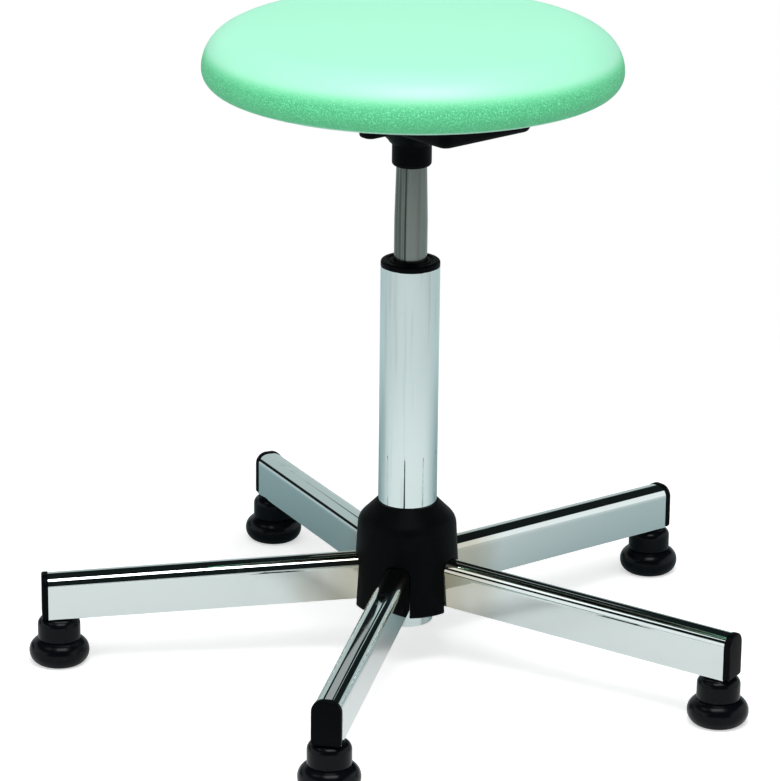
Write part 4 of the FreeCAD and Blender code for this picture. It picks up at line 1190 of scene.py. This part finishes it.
@dataclass
class SeatPlate:
    """The pressed pan under the seat, its socket, screws and release lever."""
    turn: float = math.radians(52.5)
    sheet: float = 2.5 * MM
    sheet_edge: float = 0.3 * MM
    width: float = 98.0 * MM
    length: float = 192.0 * MM
    corner: float = 9.0 * MM
    flange: float = 20.0 * MM
    flange_corner: float = 12.0 * MM
    depth: float = 28.5 * MM
    bend: float = 5.0 * MM
    bend_steps: int = 4
    brim_round: float = 2.0 * MM
    neck_top: float = 39.7 * MM
    neck_round: float = 3.0 * MM
    neck_lip: float = 1.5 * MM
    neck_lip_rise: float = 3.9 * MM
    neck_edge: float = 0.8 * MM
    socket_round: float = 3.2 * MM
    socket_bore_gap: float = 0.4 * MM
    bore_steps: int = 72
    rod_radius: float = 3.5 * MM
    rod_sides: int = 20
    rod_bend: float = 10.0 * MM
    rod_bend_steps: int = 10
    rod_end_round: float = 0.8 * MM
    rod_tip: float = 4.5 * MM
    rod_finger: float = 20.0 * MM
    rod_side: float = 64.0 * MM
    rod_reach: float = 104.0 * MM
    slot_length: float = 10.0 * MM
    slot_width: float = 8.2 * MM
    slot_drop: float = 4.1 * MM
    slot_rise: float = 8.1 * MM
    grip_length: float = 42.0 * MM
    grip_width: float = 17.0 * MM
    grip_past: float = 4.0 * MM
    grip_corner: float = 7.0 * MM
    grip_edge: float = 2.5 * MM
    head_radius: float = 6.0 * MM
    head_height: float = 4.0 * MM
    head_round: float = 2.4 * MM
    head_brow: float = 0.72 * MM
    head_sides: int = 24
    key_radius: float = 2.3 * MM
    key_depth: float = 2.2 * MM
    key_sides: int = 6
    shank_radius: float = 3.0 * MM

    def pan_mesh(self, low: float, high: float, bore: float) -> Mesh:
        """The pressing's lower face, from its flange down to its neck's lip.

        Args:
            low: The height of the neck's lip.
            high: The height of the flange's upper face.
            bore: The socket's radius, which the neck goes round.

        Returns:
            The open sheet, whose faces point down and out.
        """
        bm = bmesh.new()
        under, floor = high - self.sheet, high - self.depth
        rim, brim = 2 * self.flange, 2 * self.brim_round
        loops = [
            rounded_loop(bm, self.width + rim, self.length + rim, self.flange_corner, under),
            rounded_loop(bm, self.width + brim, self.length + brim, self.corner + self.brim_round, under),
            rounded_loop(bm, self.width, self.length, self.corner, under - self.brim_round),
        ]
        for step in range(self.bend_steps + 1):
            tilt = math.radians(90.0 * step / self.bend_steps)
            inset = self.bend * (1 - math.cos(tilt))
            rise = self.bend * (1 - math.sin(tilt))
            loops.append(rounded_loop(bm, self.width - 2 * inset, self.length - 2 * inset,
                                      self.corner - inset, floor + rise))
        throat = bore + self.sheet
        count = len(loops[0])
        loops += [circle_loop(bm, count, radius, height) for radius, height in (
            (self.neck_top + self.neck_round / 2, floor),
            (self.neck_top, floor - self.neck_round / 8),
            (self.neck_top - self.neck_round / 2, floor - self.neck_round / 2),
            (throat + self.neck_lip, low + self.neck_lip_rise),
            (throat, low + self.neck_lip),
            (bore + self.neck_edge, low),
        )]
        bridge(bm, *loops)
        seal(bm)
        if max(bm.faces, key=lambda face: face.calc_area()).normal.z > 0:
            bmesh.ops.reverse_faces(bm, faces=bm.faces)
        return turn_mesh(bm, self.turn)

    def bore_mesh(self, low: float, high: float, bore: float) -> Mesh:
        """The round space in the pan's neck that the socket fills.

        Args:
            low: The lower end's height.
            high: The upper end's height.
            bore: The radius.

        Returns:
            The mesh.
        """
        bm = bmesh.new()
        bmesh.ops.create_cone(bm, cap_ends=True, segments=self.bore_steps, radius1=bore, radius2=bore,
                              depth=high - low)
        bmesh.ops.translate(bm, verts=bm.verts, vec=(0.0, 0.0, (low + high) / 2))
        return bm

    def slot_mesh(self, axis_height: float) -> Mesh:
        """The upright slot in the pan's wall that the lever moves in.

        Args:
            axis_height: The height of the lever's axis.

        Returns:
            The mesh.
        """
        bm = bmesh.new()
        verts = bmesh.ops.create_cube(bm, size=1.0)["verts"]
        size = (self.slot_length, self.slot_width, self.slot_drop + self.slot_rise)
        bmesh.ops.scale(bm, verts=verts, vec=size)
        rise = axis_height + (self.slot_rise - self.slot_drop) / 2
        bmesh.ops.translate(bm, verts=verts, vec=(-self.width / 2, -self.rod_side, rise))
        along = [edge for edge in bm.edges if abs(edge.verts[0].co.x - edge.verts[1].co.x) > self.sheet]
        round_off(bm, along, self.rod_radius)
        return turn_mesh(bm, self.turn)

    def rod_mesh(self, axis_height: float) -> Mesh:
        """The bent rod: a finger over the valve, an axle and an arm out to the grip.

        Args:
            axis_height: The height of the rod's middle.

        Returns:
            The mesh.
        """
        bm = bmesh.new()
        ring = bmesh.ops.create_circle(bm, segments=self.rod_sides, radius=self.rod_radius,
                                       cap_ends=True)["verts"]
        bmesh.ops.rotate(bm, verts=ring, cent=(0, 0, 0), matrix=Matrix.Rotation(math.pi / 2, 3, "Y"))
        bmesh.ops.translate(bm, verts=ring, vec=(self.rod_tip, 0.0, axis_height))
        first = list(bm.faces)
        edges = list(bm.edges)
        corner = -self.rod_finger
        stations = (
            ((self.rod_bend + corner - self.rod_tip, 0.0, 0.0), (self.rod_bend + corner, -self.rod_bend), 1),
            ((0.0, 2 * self.rod_bend - self.rod_side, 0.0),
             (corner - self.rod_bend, self.rod_bend - self.rod_side), -1),
            ((self.rod_bend - self.rod_reach - corner, 0.0, 0.0), None, 0),
        )
        for run, centre, side in stations:
            edges = push_edges(bm, edges, run)
            if centre:
                bent = bmesh.ops.spin(bm, geom=edges, cent=(*centre, 0.0), axis=(0, 0, 1),
                                      angle=side * math.pi / 2, steps=self.rod_bend_steps,
                                      use_merge=False, use_duplicate=False)
                edges = edges_in(bent["geom_last"])
        last = bmesh.ops.contextual_create(bm, geom=edges)["faces"]
        rims = {edge for face in [*first, *last] for edge in face.edges}
        round_off(bm, rims, self.rod_end_round, segments=3)
        seal(bm)
        return turn_mesh(bm, self.turn)

    def grip_mesh(self, low: float, high: float) -> Mesh:
        """The flat grip, with rounded corners and soft edges.

        Args:
            low: The lower face's height.
            high: The upper face's height.

        Returns:
            The mesh.
        """
        bm = bmesh.new()
        loop = rounded_loop(bm, self.grip_length, self.grip_width, self.grip_corner, low)
        pull_block(bm, loop, (0.0, 0.0, high - low))
        flat = [edge for edge in bm.edges if abs(edge.verts[0].co.z - edge.verts[1].co.z) < SAME_POINT]
        round_off(bm, flat, self.grip_edge)
        place = (self.grip_length / 2 - self.rod_reach - self.grip_past, -self.rod_side, 0.0)
        bmesh.ops.translate(bm, verts=bm.verts, vec=place)
        seal(bm)
        return turn_mesh(bm, self.turn)

    def screws_mesh(self, low: float, high: float) -> Mesh:
        """Four button-headed screws, each with a six-sided key hole below.

        Args:
            low: The heads' height.
            high: The tips' height.

        Returns:
            The mesh.
        """
        bm = bmesh.new()
        across, along = (self.width + self.flange) / 2, (self.length + self.flange) / 2
        for side in (-1, 1):
            for end in (-1, 1):
                self._screw(bm, Vector((side * across, end * along, 0.0)), low, high)
        seal(bm)
        return turn_mesh(bm, self.turn)

    def _screw(self, bm: Mesh, place: Vector, low: float, high: float) -> None:
        """Adds one screw to a mesh, head down.

        Args:
            bm: The mesh.
            place: Where the screw's axis is.
            low: The head's height.
            high: The tip's height.
        """
        before = set(bm.verts)
        loops = [circle_loop(bm, self.head_sides, radius, height) for radius, height in (
            (self.key_radius, low + self.key_depth),
            (self.key_radius, low),
            (self.head_radius - self.head_round, low),
            (self.head_radius - self.head_brow, low + self.head_brow),
            (self.head_radius, low + self.head_round),
            (self.head_radius, low + self.head_height),
            (self.shank_radius, low + self.head_height),
            (self.shank_radius, high),
        )]
        key_top, key_rim, tip = loops[0], loops[1], loops[-1]
        bridge(bm, *loops)
        bmesh.ops.contextual_create(bm, geom=key_top)
        bmesh.ops.contextual_create(bm, geom=tip)
        sector = math.tau / self.key_sides
        for vert in {vert for loop in (key_top, key_rim) for edge in loop for vert in edge.verts}:
            angle = math.atan2(vert.co.y, vert.co.x) % sector - sector / 2
            flat = math.cos(sector / 2) / math.cos(angle)
            vert.co.x *= flat
            vert.co.y *= flat
        bmesh.ops.translate(bm, verts=[vert for vert in bm.verts if vert not in before], vec=place)

    def socket_mesh(self, stand: Stand, bore: float) -> Mesh:
        """The collar that takes the cylinder's taper.

        Args:
            stand: Where the collar is.
            bore: Its radius inside, at the lower end.

        Returns:
            The mesh.
        """
        path = Outline(bore, stand.low).line(stand.radius - self.socket_round, stand.low)
        path.arc(stand.radius, stand.low + self.socket_round, self.socket_round)
        path.line(stand.radius, stand.high).line(bore - self.sheet / 2, stand.high)
        return path.lathe(steps=SMALL_LATHE_STEPS)

    def build(self) -> None:
        """Makes and dresses the plate and its lever."""
        plate, socket, cylinder = (Stand.of(node) for node in ("seat_plate", "cone_socket", "gas_cylinder"))
        lever, grip, screws = (Stand.of(node) for node in ("release_lever", "lever_grip", "plate_screws"))
        axis_height = (lever.low + lever.high) / 2
        pan = new_object("seat_pan", self.pan_mesh(plate.low, plate.high, socket.radius))
        thicken = pan.modifiers.new("sheet", "SOLIDIFY")
        thicken.thickness = self.sheet
        thicken.offset = -1.0
        thicken.use_even_offset = True
        carve(pan, self.slot_mesh(axis_height))
        carve(pan, self.bore_mesh(socket.low, plate.high, socket.radius))
        soften_edges(pan, self.sheet_edge)
        settle(pan, BLACK_PAINT, Body.SEAT.value, "seat_plate")
        collar = new_object("socket_collar", self.socket_mesh(socket, cylinder.radius - self.socket_bore_gap))
        settle(collar, BLACK_PAINT, Body.SEAT.value, "cone_socket")
        rod = new_object("lever_rod", self.rod_mesh(axis_height))
        settle(rod, STEEL, Body.LEVER.value, "release_lever")
        handle = new_object("lever_handle", self.grip_mesh(grip.low, grip.high))
        settle(handle, BLACK_MOULDING, Body.LEVER.value, "lever_grip")
        fixings = new_object("pan_screws", self.screws_mesh(screws.low, screws.high))
        settle(fixings, STEEL, Body.SEAT.value, "plate_screws")


# Seat

@dataclass
class Seat:
    """The moulded pad, round the board in its underside."""
    lower_round: float = 14.0 * MM
    side_round: float = 32.0 * MM
    shoulder_round: float = 50.0 * MM
    shoulder_angle: float = math.radians(32.0)
    crown: float = 1.5 * MM
    crown_rings: int = 6
    board_gap: float = 0.3 * MM
    inner_round: float = 2.0 * MM
    fill: float = 0.95

    def pad_mesh(self, pad: Stand, board: Stand) -> Mesh:
        """The pad's skin: a crowned top, a soft shoulder and a recess for the board.

        Args:
            pad: Where the pad is.
            board: Where the board is.

        Returns:
            The mesh.
        """
        widest = pad.low + self.lower_round
        sine, cosine = math.sin(self.shoulder_angle), math.cos(self.shoulder_angle)
        side_end = pad.radius - self.side_round * (1 - sine)
        side_top = widest + self.side_round * cosine
        crown_start = side_end - self.shoulder_round * sine
        crown_foot = side_top + self.shoulder_round * (1 - cosine)
        crown_radius = (crown_start ** 2 + self.crown ** 2) / (2 * self.crown)
        recess = board.radius + self.board_gap
        roof = board.high + self.board_gap
        path = Outline(0.0, roof).line(recess, roof).line(recess, pad.low + self.inner_round)
        path.arc(recess + self.inner_round, pad.low, self.inner_round)
        path.line(pad.radius - self.lower_round, pad.low)
        path.arc(pad.radius, widest, self.lower_round)
        path.arc(side_end, side_top, self.side_round)
        path.arc(crown_start, crown_foot, self.shoulder_round)
        for ring in range(1, self.crown_rings + 1):
            reach = crown_start * (1 - ring / self.crown_rings)
            sag = crown_radius - math.sqrt(crown_radius ** 2 - reach ** 2)
            path.line(reach, crown_foot + self.crown - sag)
        return path.lathe(closed=False, steps=WIDE_LATHE_STEPS)

    def build(self) -> None:
        """Makes and dresses the seat."""
        pad = new_object("seat_cushion", self.pad_mesh(Stand.of("seat_pad"), Stand.of("seat_board")))
        settle(pad, MINT, Body.SEAT.value, "seat_pad")


# Studio

@dataclass(frozen=True)
class Panel:
    """One soft panel of light; its place is to the viewer's right, towards the viewer and up."""
    name: str
    place: Triple
    size: Span
    radiance: float
    mirrored: bool = True


PANELS = (
    Panel("overhead_panel", (0.15, 0.9, 2.45), (1.5, 1.0), 6.9),
    Panel("left_panel", (-1.5, 0.45, 2.3), (1.0, 0.7), 1.5),
    Panel("back_panel", (0.06, -1.67, 1.15), (0.5, 0.2), 0.45),
    Panel("front_fill", (-1.6, 2.6, 1.5), (1.6, 1.6), 1.1, mirrored=False),
)


@dataclass
class Studio:
    """The floor, the lights and the camera of the picture; distances are from the column's axis.

    The walls that polished metal mirrors are given by direction: a crest's place goes from 0 on the left to
    1 on the right, and its height, like every other limit of the walls, is a part of a unit vector.
    """
    azimuth: float = math.radians(11.49)
    distance: float = 3.2586
    height: float = 1.3342
    aim: float = math.radians(11.769)
    pitch: float = math.radians(18.637)
    roll: float = math.radians(0.65)
    focal_pixels: float = 4080.35
    clip_end: float = 200.0
    light_aim: Triple = (0.0, 0.0, 0.3)
    floor_half: float = 40.0
    floor_drop: float = 0.2 * MM
    floor_grey: float = 0.80
    floor_lift: float = 0.50
    shadow_span: Span = (0.40, 1.0)
    mirror_lift: float = 0.06
    mirror_ahead: Colour = (0.91, 0.91, 0.91)
    mirror_far_ahead: Colour = (0.76, 0.77, 0.78)
    mirror_behind: Colour = (0.30, 0.42, 0.44)
    mirror_far_behind: Colour = (0.66, 0.77, 0.79)
    mirror_turn: Span = (-1.0, 0.5)
    paper_end: Span = (2.3, 2.4)
    paper_front: Span = (0.0, 0.5)
    dark_room: Colour = (0.010, 0.014, 0.014)
    side_wall: Colour = (1.15, 1.15, 1.15)
    back_wall: Colour = (0.58, 0.66, 0.65)
    back_start: Span = (0.2, 0.7)
    crest: tuple[Span, ...] = (
        (0.0, 0.47), (0.325, 0.47), (0.40, 0.41), (0.435, 0.34), (0.61, 0.22), (0.82, 0.24), (0.88, 0.58),
        (1.0, 0.58),
    )
    crest_fade: float = 0.025
    gap_behind: Span = (0.3, 0.45)
    gap_left: Span = (-0.6, -0.45)
    gap_top: Span = (0.20, 0.24)
    front_opening: Span = (-0.75, -0.62)
    front_sill: Span = (0.05, 0.08)
    sky_fill: float = 0.58

    def point(self, right: float, near: float, up: float) -> Vector:
        """A place given as the viewer sees it: to the right, towards the viewer and up."""
        return Matrix.Rotation(self.azimuth, 3, "Z") @ Vector((right, -near, up))

    def add_camera(self) -> None:
        """Sets up the camera at the picture's own angle."""
        lens = bpy.data.cameras.new("view")
        lens.sensor_width = SENSOR
        lens.sensor_fit = "AUTO"
        lens.lens = self.focal_pixels * SENSOR / PICTURE_HEIGHT
        lens.clip_end = self.clip_end
        camera = bpy.data.objects.new("view", lens)
        bpy.context.scene.collection.objects.link(camera)
        turn = (Matrix.Rotation(self.aim, 4, "Z") @ Matrix.Rotation(math.pi / 2 - self.pitch, 4, "X")
                @ Matrix.Rotation(self.roll, 4, "Z"))
        camera.matrix_world = Matrix.Translation(self.point(0.0, self.distance, self.height)) @ turn
        bpy.context.scene.camera = camera

    def add_panel(self, panel: Panel) -> None:
        """Hangs one soft panel of light, unseen by the camera.

        Args:
            panel: Its place, its size and how bright its face is, where 1 is white.
        """
        width, height = panel.size
        lamp = bpy.data.lights.new(panel.name, "AREA")
        lamp.shape = "RECTANGLE"
        lamp.size = width
        lamp.size_y = height
        lamp.energy = panel.radiance * math.pi * width * height
        hung = bpy.data.objects.new(panel.name, lamp)
        bpy.context.scene.collection.objects.link(hung)
        hung.location = self.point(*panel.place)
        hung.rotation_euler = (Vector(self.light_aim) - hung.location).to_track_quat("-Z", "Y").to_euler()
        hung.visible_camera = False
        hung.visible_glossy = panel.mirrored

    def floor_material(self) -> bpy.types.Material:
        """White paper that keeps the shadow near the stool and is bare white beyond.

        Polished metal mirrors it white in front and greyer close behind, as light falls off towards the back.

        Returns:
            The material.
        """
        made = bpy.data.materials.new("studio_floor")
        made.use_nodes = True
        web = Web(made.node_tree)
        rays = web.node("ShaderNodeLightPath")
        mirrored = rays.output("Is Glossy Ray")
        place = web.place()
        reach = web.length(place)
        ahead = web.along(web.vector("NORMALIZE", place), self.point(0.0, 1.0, 0.0))
        beyond = web.step(reach, *self.shadow_span)
        laid = web.mix(web.step(ahead, *self.mirror_turn),
                       web.mix(beyond, self.mirror_behind, self.mirror_far_behind),
                       web.mix(beyond, self.mirror_ahead, self.mirror_far_ahead))
        ended = web.step(reach, *self.paper_end) * web.step(ahead, *self.paper_front)
        tone = web.mix(ended, laid, self.dark_room)
        paper = web.node("ShaderNodeBsdfDiffuse", {}, {"Color": (self.floor_grey,) * 3})
        lift = web.node("ShaderNodeEmission", {}, {"Strength": self.floor_lift})
        white = web.node("ShaderNodeEmission", {}, {"Strength": 1.0})
        lifted = web.node("ShaderNodeAddShader", {}, {0: paper, 1: lift})
        toned = web.node("ShaderNodeBsdfDiffuse", {}, {"Color": tone})
        glow = web.node("ShaderNodeEmission", {}, {"Color": tone, "Strength": self.mirror_lift})
        mirror = web.node("ShaderNodeAddShader", {}, {0: toned, 1: glow})
        plain = web.node("ShaderNodeMixShader", {}, {0: beyond, 1: lifted, 2: white})
        seen = web.node("ShaderNodeMixShader", {}, {0: mirrored, 1: plain, 2: mirror})
        shown = mirrored.at_least(rays.output("Is Camera Ray")).at_least(rays.output("Is Transmission Ray"))
        face = web.node("ShaderNodeMixShader", {}, {0: shown, 1: paper, 2: seen})
        below = web.node("ShaderNodeNewGeometry", output="Backfacing")
        clear = web.node("ShaderNodeBsdfTransparent")
        surface = web.node("ShaderNodeMixShader", {}, {0: below, 1: face, 2: clear})
        web.node("ShaderNodeOutputMaterial", {}, {"Surface": surface})
        return made

    def add_floor(self) -> None:
        """Lays the paper that the stool stands on."""
        bm = bmesh.new()
        bmesh.ops.create_grid(bm, x_segments=1, y_segments=1, size=self.floor_half)
        bmesh.ops.translate(bm, verts=bm.verts, vec=(0.0, 0.0, -self.floor_drop))
        floor = new_object("studio_floor", bm)
        floor.data.materials.append(self.floor_material())

    def add_sky(self) -> None:
        """Sets a white world, in which polished metal mirrors pale walls round a dark front and ceiling."""
        world = bpy.data.worlds.new("studio")
        world.use_nodes = True
        bpy.context.scene.world = world
        web = Web(world.node_tree)
        rays = web.node("ShaderNodeLightPath")
        way = web.node("ShaderNodeTexCoord", output="Generated")
        rise = web.height(way)
        behind = web.along(way, self.point(0.0, -1.0, 0.0))
        right = web.along(way, self.point(1.0, 0.0, 0.0))
        crest = web.node("ShaderNodeValToRGB", {"stops": self.crest}, {0: right * 0.5 + 0.5})
        paling = 1.0 - web.step(rise - crest, 0.0, self.crest_fade)
        gap = (web.step(behind, *self.gap_behind) * (1.0 - web.step(right, *self.gap_left))
               * (1.0 - web.step(rise, *self.gap_top)))
        walled = web.step(behind, *self.front_opening).at_least(1.0 - web.step(rise, *self.front_sill))
        lit = paling * walled * (1.0 - gap)
        pale = web.mix(web.step(behind, *self.back_start), self.side_wall, self.back_wall)
        room = web.mix(rays.output("Is Glossy Ray"), (self.sky_fill,) * 3, web.mix(lit, self.dark_room, pale))
        tone = web.mix(rays.output("Is Camera Ray"), room, WHITE)
        glow = web.node("ShaderNodeBackground", {}, {"Color": tone, "Strength": 1.0})
        web.node("ShaderNodeOutputWorld", {}, {"Surface": glow})

    def build(self) -> None:
        """Sets the stage."""
        self.add_camera()
        self.add_floor()
        self.add_sky()
        for panel in PANELS:
            self.add_panel(panel)
        bpy.context.scene.view_settings.view_transform = "Standard"


def dress_nodes() -> None:
    """Gives every node of the frame the finish of its slot."""
    by_slot = {finish.slot: finish for finish in FINISHES}
    for part in frame["record"]["subparts"]:
        node = frame["nodes"][part["node"]]
        node.data.materials.clear()
        node.data.materials.append(by_slot[part["material_slot"]].material())


def main() -> None:
    """Builds the stool's pieces in order, then the studio."""
    logging.basicConfig(level=logging.INFO, format="%(message)s")
    dress_nodes()
    for assembly in (Base(), Column(), SeatPlate(), Seat(), Studio()):
        assembly.build()


if __name__ == "__main__":
    main()
